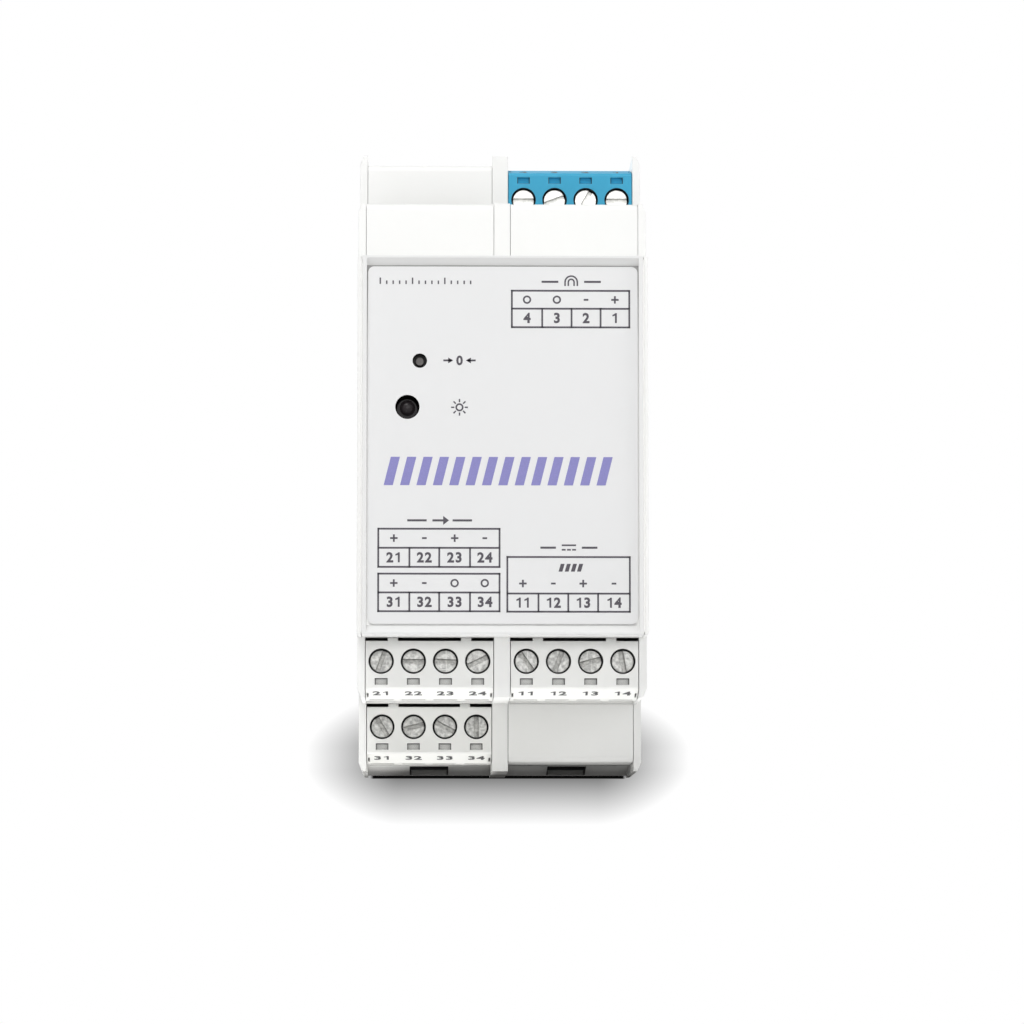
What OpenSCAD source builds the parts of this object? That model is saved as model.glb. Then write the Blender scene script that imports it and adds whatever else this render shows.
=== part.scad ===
// Rail-mounted transmitter module with plug-in screw terminals.
// +X is the width, the front looks along -Y, +Z is up. The origin is the
// middle of the face that bears on the mounting rail.

/* [Housing] */
// Depth from the front rim to the face that bears on the rail
seat_depth = 106; // [98:1:130]
// Height of the front cover
nose_h = 58.8; // [54:0.2:66]
// Depth of the near terminals behind the front rim
near_depth = 7.7; // [7.5:0.1:12]
// Depth of one terminal bay
bay_depth = 20.3; // [20:0.1:24]
// Thickness of the moulded outer walls
wall = 1.2; // [1:0.1:1.6]
// Thickness of the rib between the two columns of bays
rib_w = 2.5; // [2:0.1:4]
// Reach of the side walls past the outer terminals
lip_h = 1.5; // [1.4:0.1:4]
// Bevel on the outer corners of each step, across and along
bevel = [0.6, 1.4]; // [0.2:0.1:2]
// Depth at which the ends start to taper towards the back
taper_depth = 58; // [54:1:80]
// Height of the housing at its back
back_h = 74; // [66:1:84]
// Width of the dark latch window in each end wall
window_w = 6.3; // [4:0.1:10]
// Width of one ventilation slot
vent_w = 1.6; // [1:0.1:2.2]

/* [Front] */
// Depth of the recess that takes the label
recess = 1; // [0.6:0.1:1.4]
// Width of the rim beside the label
side_rim = 0.7; // [0.5:0.1:1.5]
// Height of the sloping rim above and below the label
end_rim = 1.5; // [1:0.05:3]
// Thickness of the label plate
label_t = 0.3; // [0.2:0.05:0.5]
// Thickness of the front wall
front_t = 1.5; // [1.2:0.1:2]
// Place of the zero button, across and up
zero_at = [-12.85, 13.05]; // [-18:0.1:22]
// Diameter of the access hole over the zero button
zero_hole = 2.25; // [2:0.05:3]
// Place of the status light, across and up
status_at = [-14.75, 5.85]; // [-18:0.1:22]
// Diameter of the hole for the status light
status_hole = 3.75; // [3:0.05:4.2]
// Travel of the zero button
zero_travel = 0.3; // [0.2:0.05:0.4]

/* [Terminals] */
// Distance between neighbouring terminals
pitch = 5; // [5:0.01:5.2]
// Height of one plug, from its inner to its outer edge
plug_h = 9.3; // [9.2:0.1:10.5]
// Height of the plug's front face
face_h = 8; // [7.7:0.1:8.4]
// Depth over which the number strip slopes back
strip_depth = 5.4; // [4:0.1:6]
// Dark gap along the inner edge of a plug
edge_gap = 0.55; // [0.3:0.05:0.7]
// Distance of the screw axes from the inner edge
screw_z = 3.7; // [3.6:0.05:3.9]
// Diameter of the screw heads
head_d = 3.4; // [3.2:0.1:3.6]
// Height of a screw head
head_h = 1.5; // [1.2:0.1:1.6]
// Diameter of a screw's shank
shank_d = 2.6; // [2.2:0.1:2.6]
// Travel of the rising clamp
clamp_travel = 2.5; // [2:0.1:2.5]
// Wall thickness of the rising clamp
clamp_t = 0.6; // [0.5:0.05:0.7]
// Side of a wire entry
wire_w = 3; // [2.6:0.1:3]
// Size of a test slot, across and along
test_slot = [1.97, 1]; // [0.6:0.01:2.4]
// Thickness of a contact strip
contact_t = 0.5; // [0.4:0.05:0.5]
// Side of a square header pin
pin_w = 1; // [0.8:0.05:1]

/* [Rail mount] */
// Height of the mounting rail across its flanges
rail_h = 35; // [35:0.5:36]
// Room behind the seat for a rail flange
flange_gap = 1.6; // [1.2:0.1:2.4]
// Overlap of a hook over the flange of the rail
hook_over = 1.2; // [1:0.1:1.6]
// Depth of the hooks behind the seat
hook_depth = 6; // [5:0.5:8]
// Width of the sliding catch
catch_w = 16; // [14:0.5:20]
// Thickness of the sliding catch
catch_t = 3; // [2.5:0.1:3.5]
// Release travel of the catch
catch_travel = 2.8; // [2.2:0.1:3]
// Outer diameter of the catch spring
spring_d = 3; // [2.4:0.1:3]

/* [Boards] */
// Thickness of the circuit boards
board_t = 1.6; // [1:0.1:1.6]
// Height of the ribs that carry the boards
board_rib = 0.3; // [0.2:0.05:0.35]

/* [Hidden] */
$fn = 48;
eps = 0.01;
poles = 4;
fit = 0.1; // clearance of a sliding or push fit
slim = 0.05; // clearance of a running fit
slot_w = 0.7; // slots of the screws
slot_depth = 0.9;

// width, from the terminal pitch outwards
bay_w = poles * pitch + 0.05;
inner_w = 2 * bay_w + rib_w;
body_w = inner_w + 2 * wall;
column_x = (rib_w + bay_w) / 2;
plug_w = bay_w - 2 * fit;

// half heights of the three steps
nose_z = nose_h / 2;
near_z = nose_z + plug_h;
far_z = near_z + plug_h;
tip_z = far_z + lip_h;

// depths behind the front rim
far_depth = near_depth + bay_depth;
deep_depth = far_depth + bay_depth;
skirt_depth = near_depth - 0.2;
end_step = 0.3; // end walls lie this far inside the side walls
end_wall = wall + 0.3; // thickness of the end walls
back_wall = 6;
taper_end = 4;
vent_step = 3.5;
vent_l = 13;
nose_bevel = 0.3;

// inside the front
skirt_w = 0.75;
skirt_h = wall + 0.2;
rabbet = 0.55;
boss_t = 0.5;
front_board_depth = 9;
front_board_h = 48;
plate_back = recess + front_t;
corner_r = 1; // corners of the label
label_gap = 0.15;
lip_slope = 0.35; // rim above and below the label, at the very front

// latch tabs of the front cover
latch_w = 6;
latch_t = 1;
latch_at = skirt_depth + 1.8;
latch_l = 1.6;
latch_x = 10;
latch_bite = 0.6;

// zero button and status light
boss_d = 5.2;
button_l = 2.5; // from the boss to the switch
button_flange = 0.8;
tip_gap = 0.5; // room round the tip of the button in its hole
switch_w = 6;
dome = 0.5;
led_step = 0.6; // shoulder behind the front of the status light
foot = 0.5;
foot_t = 1.4;

// inside a plug, measured from its face and its inner edge
head_depth = 0.75;
head_room = 0.25; // gap all round a screw head
seat_at = head_depth + head_h + slim;
cage_front = seat_at + 0.45;
clamp_wall = 0.9;
clamp_l = 3.4;
clamp_w = pitch - 1.1;
clamp_at = cage_front + slim + clamp_travel;
bar_at = clamp_at + clamp_wall + 0.25;
bar_t = 0.7;
wire_at = bar_at + bar_t + 0.05;
clamp_d = wire_at + wire_w + 0.05 - clamp_at + 0.8;
cage_back = clamp_at + clamp_d + 0.2;
block_depth = cage_back + 1.1;
nose_depth = 4;
plug_depth = block_depth + nose_depth;
contact_z = 1.15;
pin_z = contact_z + contact_t + 0.075 + pin_w / 2;
leaf_z = pin_z + pin_w / 2 + 0.075;
contact_w = clamp_w - 2 * clamp_t - 0.2;
fold_at = cage_back + 0.3;
pin_tip = fold_at + contact_t + 0.6;
header_at = block_depth + 0.2;
header_h = plug_h - 0.5;
header_wall = 0.7;
header_floor = 1.5;
funnel = 0.35;
edge_cut = 0.25; // bevel between a plug's face and its number strip
test_z = face_h - 1.15;
test_depth = 0.6;
notch_w = 0.3; // notches at the ends of the number strip
notch_h = 0.8;
post_x = 5.7;
post_w = 1.6;
key_w = bay_w - 2.45;

// tongues of a blank cover
tongue_x = bay_w / 2 - 4;
tongue_w = 3;

// header pins behind the bays
pin_first = bay_depth + wall + 1.1;
pin_step = 1.6;
pin_hole = 0.8; // half the side of a hole in the housing
board_face = inner_w / 2 - board_rib - board_t;
board_rib_z = 22;
board_shoulder = 3.5; // level stretch of a side board behind the bays

// parts on the side boards: depth, height, size
MAIN_BLOCKS = [[60, 4, [2, 14, 14]], [62, -17, [2.4, 9, 12]], [38, 8, [1.6, 10, 10]],
    [80, 12, [6, 8, 14]], [18, -8, [3, 12, 8]]];
POWER_BLOCKS = [[58, 6, [15, 18, 22]], [84, -12, [5, 8, 16]], [40, -10, [4, 10, 9]]];
// capacitors: depth, height, diameter, length
CAPACITORS = [[64, -24, 10, 16], [64, -11, 10, 16]];

// catch at the back
rail_z = rail_h / 2;
seat_relief = 0.6;
pad_x = 20;
catch_gap = 0.1;
catch_lip = 1;
catch_y = -seat_relief - catch_lip - catch_gap - catch_t;
catch_neck = catch_w - 3.4;
hook_z = rail_z + 0.4;
lip_z = rail_z - hook_over;
pad_z = lip_z - 0.8;
catch_rim = 2.2; // plate below the release loop
catch_inset = 4.7; // from the tips of the walls to the end of the catch
hook_y = flange_gap + 2.6;
catch_top = 4.2;
spring_l = 9;
spring_wire = 0.5;
spring_turns = 6;
window_top = hook_z + catch_top;
stop_h = 2.2;
stop_w = spring_d + 1;
window_end = window_top + spring_l + stop_h + catch_travel + 0.5;
loop_slot = 3.6;
catch_end = tip_z - catch_inset;

// resting angle of each screw slot above the horizontal
SLOTS = [[-55, 70, 15, -80], [70, 0, -3, 25], [-60, 15, -28, 90], [0, 60, 20, 0]];
// plugs: first number, side, end, level, colour, slot angles
GREY = "#d7d7d4";
BLUE = "#4baacd";
SHELL = "#e8e8e4";
BOARD = "#2f6b3c";
CHIP = "#33363a";
PLUGS = [
    [11, 1, -1, 0, GREY, SLOTS[0]],
    [21, -1, -1, 0, GREY, SLOTS[1]],
    [31, -1, -1, 1, GREY, SLOTS[2]],
    [1, 1, 1, 1, BLUE, SLOTS[3]],
];
// blank covers: name, side, end, level
BLANKS = [
    ["blank_cover_top_left_near", -1, 1, 0],
    ["blank_cover_top_left_far", -1, 1, 1],
    ["blank_cover_top_right_near", 1, 1, 0],
    ["blank_cover_bottom_right_far", 1, -1, 1],
];

// y of a depth behind the front rim
function y_at(depth) = depth - seat_depth;
// x of a terminal inside its plug
function pole_x(i) = pitch * ((poles - 1) / 2 - i);
// points of an upper outline, closed by the mirrored lower one
function mirrored(points) = concat(
    points, [for (i = [len(points) - 1:-1:0]) [points[i][0], -points[i][1]]]);

// extrudes a (y, z) outline to a width across X, about x = 0
module across(width) {
    rotate([90, 0, 90]) linear_extrude(width, center = true) children();
}

// a box between two corners
module span(low, high) {
    translate(low) cube(high - low);
}

// moves a child from its own frame (x, depth from the face, height from the
// inner edge) to its terminal bay
module in_bay(side, end, level) {
    translate([side * column_x, y_at(level == 0 ? near_depth : far_depth), 0])
        rotate([0, end > 0 ? 0 : 180, 0])
            translate([0, 0, level == 0 ? nose_z : near_z]) children();
}

// front view of one step with bevelled corners
module step_outline(half_h, cut) {
    x = body_w / 2;
    polygon(mirrored([[-x, half_h - cut[1]], [-x + cut[0], half_h], [x - cut[0], half_h],
        [x, half_h - cut[1]]]));
}

// one step of the outer shape, from a depth to the back
module step(depth, half_h, cut) {
    rotate([90, 0, 0])
        translate([0, 0, -hook_depth]) linear_extrude(-y_at(depth) + hook_depth)
            step_outline(half_h, cut);
}

// side view of the outer shape behind the terminals
module taper_outline() {
    z = back_h / 2;
    polygon(mirrored([[y_at(0), tip_z + 1], [y_at(taper_depth), tip_z + 1],
        [y_at(taper_depth), tip_z], [-taper_end, z], [hook_depth - 4, z - 6],
        [hook_depth, z - 9]]));
}

// the solid that the housing is cut from
module envelope() {
    intersection() {
        union() {
            step(2 * nose_bevel, nose_z, [nose_bevel, nose_bevel]);
            step(near_depth, near_z, bevel);
            step(far_depth, tip_z, bevel);
        }
        across(body_w + 2) taper_outline();
    }
}

// side view of the hollow inside
module hollow_outline() {
    end = far_z - wall - 0.5;
    inset = end_step + end_wall;
    polygon(mirrored([[y_at(-1), nose_z + 1], [y_at(skirt_depth), nose_z + 1],
        [y_at(skirt_depth), nose_z - wall], [y_at(far_depth + wall), nose_z - wall],
        [y_at(far_depth + wall), near_z - wall], [y_at(deep_depth + wall), near_z - wall],
        [y_at(deep_depth + wall), end], [y_at(taper_depth), tip_z - inset],
        [-back_wall, back_h / 2 - inset]]));
}

// side view of the space outside the end walls, between side walls and rib
module end_relief_outline() {
    high = tip_z + 1;
    polygon([[y_at(far_depth) - 1, far_z - 0.1], [y_at(deep_depth), far_z - 0.1],
        [y_at(taper_depth - end_step), tip_z - end_step],
        [-taper_end, back_h / 2 - end_step], [0, back_h / 2 - 5], [0, high],
        [y_at(far_depth) - 1, high]]);
}

// cuts of one terminal bay, in the frame of the bay
module bay_cut(level) {
    span([-bay_w / 2, -2, 0], [bay_w / 2, bay_depth, plug_h + lip_h + 2]);
    for (i = [0:poles - 1])
        span([pole_x(i) - pin_hole, bay_depth - 1, pin_z - pin_hole],
            [pole_x(i) + pin_hole, bay_depth + wall + 1, pin_z + pin_hole]);
    if (level == 1)
        span([-window_w / 2, bay_depth + 0.7, header_h - 2.2],
            [window_w / 2, taper_depth - far_depth - 1, plug_h + lip_h]);
}

// ventilation slots through a slanted end wall
module vents() {
    for (i = [-2:2])
        span([i * vent_step - vent_w / 2, y_at(taper_depth + 4), back_h / 4],
            [i * vent_step + vent_w / 2, y_at(taper_depth + 4 + vent_l), tip_z + 1]);
}

// space of the rail and of the hooks' throats
module rail_space() {
    span([-body_w, -seat_relief, -lip_z], [body_w, hook_depth + 1, lip_z]);
    span([-body_w, -seat_relief, -hook_z], [body_w, flange_gap, hook_z]);
    span([-body_w, -seat_relief, -back_h], [body_w, hook_depth + 1, -lip_z]);
    across(2 * body_w) polygon([[hook_y, lip_z - 1], [hook_depth + 1, lip_z - 1],
        [hook_depth + 1, lip_z + 4]]);
}

// pocket in which the catch slides
module catch_pocket() {
    w = catch_w / 2 + catch_gap;
    neck = catch_neck / 2 + catch_gap;
    top = -(lip_z - catch_gap);
    span([-w, catch_y - catch_gap, -tip_z - 1], [w, catch_y + catch_t + catch_gap, top]);
    span([-neck, catch_y, -tip_z - 1], [neck, hook_depth + 1, top]);
}

// shelf of the housing that the catch spring stands on
module catch_stop() {
    z = -(window_top + spring_l);
    w = stop_w / 2;
    span([-w, catch_y - catch_gap - eps, z - stop_h], [w, catch_y + catch_t, z]);
}

// ribs that carry a board along a side wall
module board_ribs() {
    x = inner_w / 2;
    for (side = [-1, 1])
        for (z = [-board_rib_z, board_rib_z])
            translate([side * (x - (board_rib - eps) / 2), (y_at(12) - back_wall) / 2, z])
                cube([board_rib + eps, -back_wall - y_at(12) + eps, 2], center = true);
}

module base_housing() {
    color(SHELL) {
        difference() {
            union() {
                difference() {
                    envelope();
                    across(inner_w) hollow_outline();
                }
                board_ribs();
            }
            span([-inner_w / 2 - rabbet, y_at(-1), -nose_z - 1],
                [inner_w / 2 + rabbet, y_at(skirt_depth), nose_z + 1]);
            for (side = [-1, 1])
                for (end = [-1, 1]) {
                    for (level = [0, 1])
                        in_bay(side, end, level) bay_cut(level);
                    translate([side * column_x, 0, 0]) rotate([0, end > 0 ? 0 : 180, 0]) {
                        across(bay_w) end_relief_outline();
                        vents();
                    }
                }
            rail_space();
            catch_pocket();
            for (side = [-1, 1])
                for (end = [-1, 1])
                    latch_pocket(side, end);
        }
        span([-pad_x, -seat_relief - eps, -pad_z], [pad_x, 0, pad_z]);
        catch_stop();
    }
}

// pocket in the housing for one latch tab
module latch_pocket(side, end) {
    w = latch_w / 2 + 2 * fit;
    z = nose_z - wall;
    translate([side * latch_x, y_at(latch_at), 0]) rotate([0, end > 0 ? 0 : 180, 0])
        span([-w, -fit, z - latch_t], [w, latch_l + latch_bite, z + latch_bite]);
}

// side view of one latch tab, above the middle
module latch_outline() {
    z = nose_z - wall - fit;
    low = z - latch_t - fit;
    high = z + latch_bite - fit;
    polygon([[y_at(plate_back), low], [y_at(latch_at + latch_l + 1), low],
        [y_at(latch_at + latch_l), high], [y_at(latch_at), high], [y_at(latch_at), z],
        [y_at(plate_back), z]]);
}

// side view of the recess in the front
module recess_outline() {
    slope = (end_rim - lip_slope) / recess;
    polygon(mirrored([[y_at(-1), nose_z - lip_slope + slope], [y_at(0), nose_z - lip_slope],
        [y_at(recess), nose_z - end_rim]]));
}

module front_cover() {
    w = inner_w / 2 + rabbet - fit;
    label_w = 2 * (w - side_rim);
    color(SHELL) {
        difference() {
            span([-w, y_at(0), -nose_z], [w, y_at(skirt_depth), nose_z]);
            across(label_w) recess_outline();
            span([-w + skirt_w, y_at(plate_back), -nose_z + skirt_h],
                [w - skirt_w, y_at(skirt_depth + 1), nose_z - skirt_h]);
            front_hole(zero_at, zero_hole);
            front_hole(status_at, status_hole);
        }
        translate([zero_at[0], y_at(plate_back) - eps, zero_at[1]]) rotate([-90, 0, 0])
            difference() {
                cylinder(d = boss_d, h = boss_t + eps);
                translate([0, 0, -1]) cylinder(d = zero_hole, h = boss_t + 2);
            }
        for (side = [-1, 1])
            for (end = [0, 180])
                translate([side * latch_x, 0, 0]) rotate([0, end, 0])
                    across(latch_w) latch_outline();
    }
}

// a hole through the front at a place
module front_hole(at, size) {
    translate([at[0], y_at(-1), at[1]]) rotate([-90, 0, 0]) cylinder(d = size, h = 6);
}

module label_plate() {
    w = inner_w / 2 + rabbet - fit - side_rim - label_gap;
    h = nose_z - end_rim - label_gap;
    r = corner_r;
    color("#e6e6e6") difference() {
        translate([0, y_at(recess), 0]) rotate([90, 0, 0]) linear_extrude(label_t) union() {
            square([2 * (w - r), 2 * h], center = true);
            square([2 * w, 2 * (h - r)], center = true);
            for (x = [-1, 1])
                for (z = [-1, 1])
                    translate([x * (w - r), z * (h - r)]) circle(r);
        }
        front_hole(zero_at, zero_hole);
        front_hole(status_at, status_hole);
    }
}

// front board behind the cover; it also joins the two side boards
module front_board() {
    w = inner_w / 2 - board_rib;
    color(BOARD)
        span([-w, y_at(front_board_depth), -front_board_h / 2],
            [w, y_at(front_board_depth + board_t), front_board_h / 2]);
}

// side view of a side board
module board_outline() {
    near = far_depth + wall + 1;
    deep = deep_depth + wall + 1;
    polygon(mirrored([[y_at(front_board_depth + board_t), nose_z - 3.5],
        [y_at(near), nose_z - 3.5], [y_at(near), near_z - wall - 1.5],
        [y_at(deep), near_z - wall - 1.5], [y_at(deep), far_z - 4.5],
        [y_at(deep + board_shoulder), far_z - 4.5], [-back_wall - 3, back_h / 2 - 8]]));
}

module side_board(side) {
    color(BOARD)
        translate([side * (board_face + board_t / 2), 0, 0]) across(board_t) board_outline();
}

// blocks soldered to the inner face of a side board
module blocks(side, table) {
    for (b = table)
        color(CHIP)
            translate([side * (board_face - b[2][0] / 2), y_at(b[0]) + b[2][1] / 2, b[1]])
                cube([b[2][0] + eps, b[2][1], b[2][2]], center = true);
}

module main_board() {
    side_board(-1);
    blocks(-1, MAIN_BLOCKS);
}

module power_board() {
    side_board(1);
    blocks(1, POWER_BLOCKS);
    for (c = CAPACITORS)
        translate([board_face + eps, y_at(c[0]), c[1]]) rotate([0, -90, 0])
            color("#1d2d4a") cylinder(d = c[2], h = c[3]);
}

module zero_switch() {
    h = front_board_depth - (plate_back + boss_t + button_l);
    color(CHIP) translate([zero_at[0], y_at(front_board_depth) - h / 2, zero_at[1]])
        cube([switch_w, h, switch_w], center = true);
}

// pin that carries a press from the access hole to the switch
module zero_button() {
    tail = button_l - button_flange - zero_travel - slim;
    color("#9a9a96")
        translate([zero_at[0], y_at(plate_back + boss_t), zero_at[1]]) rotate([-90, 0, 0]) {
            translate([0, 0, -1.1]) cylinder(d = zero_hole - 2 * tip_gap, h = 1.1 + eps);
            cylinder(d = zero_hole + 1.4, h = button_flange);
            translate([0, 0, button_flange - eps]) cylinder(d = 1.6, h = tail + eps);
        }
}

// light pipe of the status light, with a domed front and a foot
module status_led() {
    r = status_hole / 2 - fit;
    tip = r - led_step;
    top = front_board_depth - 1.5;
    ball = (tip * tip + dome * dome) / (2 * dome);
    color("#191919")
        translate([status_at[0], y_at(front_board_depth), status_at[1]]) rotate([90, 0, 0]) {
            intersection() {
                cylinder(r = tip, h = top);
                translate([0, 0, top - ball]) sphere(ball, $fn = 64);
            }
            cylinder(r = r, h = top - dome - led_step);
            cylinder(r = r + foot, h = foot_t);
        }
}

// one pin that runs back from a header and turns to the side board
module header_pin(p, i) {
    w = pin_w / 2;
    nearest = p[1] * p[2] > 0 ? i : poles - 1 - i;
    back = pin_first + pin_step * nearest;
    edge = p[1] * p[2] * (board_face - column_x);
    span([pole_x(i) - w, pin_tip, pin_z - w], [pole_x(i) + w, back, pin_z + w]);
    span([min(pole_x(i) - w, edge), back - pin_w, pin_z - w],
        [max(pole_x(i) + w, edge), back, pin_z + w]);
}

module header_pins() {
    color("#c9b36a") for (p = PLUGS)
        in_bay(p[1], p[2], p[3]) for (i = [0:poles - 1]) header_pin(p, i);
}

// socket that takes the key of a plug, on the floor of a bay
module header(p) {
    w = bay_w / 2 - 0.07;
    key = key_w / 2 + fit;
    color(p[4]) in_bay(p[1], p[2], p[3]) difference() {
        span([-w, header_at, 0], [w, bay_depth, header_h]);
        span([-key, header_at - 1, header_wall],
            [key, bay_depth - header_floor, header_h - header_wall]);
        for (i = [0:poles - 1])
            translate([pole_x(i), bay_depth, pin_z])
                cube([pin_w + 0.1, 8, pin_w + 0.1], center = true);
        span([-2.5, header_at - 1, header_h - header_wall - 1],
            [2.5, header_at + 2.5, header_h + 1]);
    }
}

// side view of a plug's block and its sloping number strip
module plug_outline() {
    rise = (plug_h - face_h) / strip_depth;
    polygon([[0, edge_gap], [0, face_h - edge_cut], [edge_cut, face_h + edge_cut * rise],
        [strip_depth, plug_h], [block_depth, plug_h], [block_depth, edge_gap]]);
}

// everything cut from a plug for one terminal
module pole_cut() {
    cage_w = clamp_w / 2 + fit;
    cage_z = clamp_l / 2 + fit;
    channel = contact_w / 2 + slim;
    translate([0, -1, screw_z]) rotate([-90, 0, 0]) {
        cylinder(d = head_d + 2 * head_room, h = 1 + seat_at);
        cylinder(d = shank_d + 0.2, h = 2 + cage_front);
    }
    span([-cage_w, cage_front, screw_z - cage_z], [cage_w, cage_back, screw_z + cage_z]);
    span([-wire_w / 2, wire_at, screw_z], [wire_w / 2, wire_at + wire_w, plug_h + 1]);
    span([-wire_w / 2 - funnel, wire_at - funnel, plug_h - 2 * funnel],
        [wire_w / 2 + funnel, wire_at + wire_w + funnel, plug_h + 1]);
    span([-channel, bar_at - slim, contact_z], [channel, plug_depth + 1, screw_z - cage_z + eps]);
    span([-channel, fold_at - slim, contact_z],
        [channel, plug_depth + 1, leaf_z + contact_t + slim]);
    span([-test_slot[0] / 2, -1, test_z - test_slot[1] / 2],
        [test_slot[0] / 2, test_depth, test_z + test_slot[1] / 2]);
}

// moulded shell of one plug, with its key and two edge posts
module plug_shell(p) {
    key = key_w / 2;
    color(p[4]) in_bay(p[1], p[2], p[3]) difference() {
        union() {
            across(plug_w) plug_outline();
            span([-key, block_depth - eps, header_wall + fit],
                [key, plug_depth, header_h - header_wall - fit]);
            span([-2, block_depth - eps, header_h - header_wall - 0.5],
                [2, header_at + 2, header_h]);
            for (x = [-post_x, post_x])
                span([x - post_w / 2, 0, slim], [x + post_w / 2, block_depth, edge_gap + eps]);
        }
        for (i = [0:poles - 1])
            translate([pole_x(i), 0, 0]) pole_cut();
        for (x = [-1, 1])
            translate([x * (plug_w / 2 - notch_w), strip_depth / 2, plug_h])
                cube([notch_w, strip_depth - 2 * notch_h, 2 * notch_h], center = true);
    }
}

// side view of a contact: bar through the clamp, leg, and two leaves
module contact_outline() {
    polygon([[bar_at, contact_z], [plug_depth - 0.4, contact_z],
        [plug_depth - 0.4, contact_z + contact_t], [fold_at + contact_t, contact_z + contact_t],
        [fold_at + contact_t, leaf_z], [plug_depth - 0.4, leaf_z],
        [plug_depth - 0.4, leaf_z + contact_t], [fold_at, leaf_z + contact_t],
        [fold_at, contact_z + contact_t], [bar_at + bar_t, contact_z + contact_t],
        [bar_at + bar_t, screw_z + clamp_l / 2 - 0.3], [bar_at, screw_z + clamp_l / 2 - 0.3]]);
}

module plug_contacts(p) {
    color("#b9b09a") in_bay(p[1], p[2], p[3]) for (i = [0:poles - 1])
        translate([pole_x(i), 0, 0]) across(contact_w) contact_outline();
}

module screw(p, i) {
    shank = bar_at - 0.15 - head_depth;
    color("#b4b4af") in_bay(p[1], p[2], p[3])
        translate([pole_x(i), head_depth, screw_z]) rotate([0, -p[5][i], 0]) rotate([-90, 0, 0])
            difference() {
                union() {
                    cylinder(d = head_d, h = head_h);
                    translate([0, 0, head_h - eps]) cylinder(d = shank_d, h = shank - head_h);
                }
                cube([head_d + 1, slot_w, 2 * slot_depth], center = true);
            }
}

// rising clamp: a square ring that the screw lifts by its thread
module clamp(p, i) {
    color("#c4c4c0") in_bay(p[1], p[2], p[3])
        translate([pole_x(i), clamp_at, screw_z]) difference() {
            span([-clamp_w / 2, 0, -clamp_l / 2], [clamp_w / 2, clamp_d, clamp_l / 2]);
            span([-clamp_w / 2 + clamp_t, clamp_wall, -clamp_l],
                [clamp_w / 2 - clamp_t, clamp_d - 0.8, clamp_l]);
            rotate([-90, 0, 0]) translate([0, 0, -1]) cylinder(d = shank_d + 2 * slim, h = 2.5);
        }
}

// side view of a blank cover, with a rounded outer edge
module blank_outline(inset) {
    r = 1 - inset / 2;
    top = plug_h - inset;
    polygon(concat([[inset, slim + inset]],
        [for (a = [0:15:90]) [inset + r * (1 - cos(a)), top - r + r * sin(a)]],
        [[block_depth, top], [block_depth, slim + inset]]));
}

module blank_cover(b) {
    w = bay_w - 0.15;
    color("#ececea") in_bay(b[1], b[2], b[3]) {
        difference() {
            across(w) blank_outline(0);
            across(w - 2 * wall) union() {
                blank_outline(wall);
                translate([block_depth - 1, slim + wall])
                    square([2, plug_h - slim - 2 * wall]);
            }
        }
        for (x = [-1, 1])
            span([x * tongue_x - tongue_w / 2, wall, slim],
                [x * tongue_x + tongue_w / 2, bay_depth, wall]);
    }
}

// side view of the catch hook, from its plate to behind the rail flange
module catch_hook_outline() {
    polygon([[catch_y, -hook_z], [flange_gap, -hook_z], [flange_gap, -lip_z],
        [flange_gap + 0.8, -lip_z], [hook_y, -hook_z], [hook_y, -hook_z - 2],
        [hook_y - 1.4, -window_top], [catch_y, -window_top]]);
}

module rail_catch() {
    w = catch_w / 2;
    color("#3c3e40") {
        difference() {
            span([-w, catch_y, -catch_end], [w, catch_y + catch_t, -hook_z]);
            span([-stop_w / 2 - 2 * fit, catch_y - 1, -window_end],
                [stop_w / 2 + 2 * fit, catch_y + catch_t + 1, -window_top]);
            span([-catch_w / 4, catch_y - 1, catch_rim - catch_end],
                [catch_w / 4, catch_y + catch_t + 1, catch_rim - catch_end + loop_slot]);
        }
        across(catch_neck) catch_hook_outline();
    }
}

// ring of points round the spring wire at one angle along the coil
function spring_ring(angle, z, sides) =
    [for (k = [0:sides - 1])
        let (r = (spring_d - spring_wire) / 2 + spring_wire / 2 * cos(360 * k / sides))
        [r * cos(angle), r * sin(angle), z + spring_wire / 2 * sin(360 * k / sides)]];

module catch_spring() {
    sides = 8;
    steps = spring_turns * 20;
    rise = spring_l - spring_wire - 0.1;
    rings = [for (s = [0:steps])
        spring_ring(s * 18, spring_wire / 2 + rise * s / steps, sides)];
    points = [for (ring = rings) for (point = ring) point];
    sleeve = [for (s = [0:steps - 1]) for (k = [0:sides - 1])
        let (a = s * sides + k, b = s * sides + (k + 1) % sides)
        [a, b, b + sides, a + sides]];
    color("#b8b8b4")
        translate([0, catch_y + catch_t / 2, -window_top - spring_l + slim])
            polyhedron(points, concat([[for (k = [sides - 1:-1:0]) k]], sleeve,
                [[for (k = [0:sides - 1]) steps * sides + k]]));
}

base_housing();
front_cover();
label_plate();
front_board();
main_board();
power_board();
zero_switch();
zero_button();
status_led();
header_pins();
rail_catch();
catch_spring();
for (b = BLANKS)
    blank_cover(b);
for (p = PLUGS) {
    header(p);
    plug_shell(p);
    plug_contacts(p);
    for (i = [0:poles - 1]) {
        screw(p, i);
        clamp(p, i);
    }
}
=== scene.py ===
"""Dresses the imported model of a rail-mounted transmitter module.

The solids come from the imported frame. This script gives every solid its
finish, prints the label and the number strips, and sets the floor, the
lights and the camera.
"""

import logging
import math
from dataclasses import dataclass, field
from enum import Enum

import bpy
from mathutils import Matrix, Vector


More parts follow.
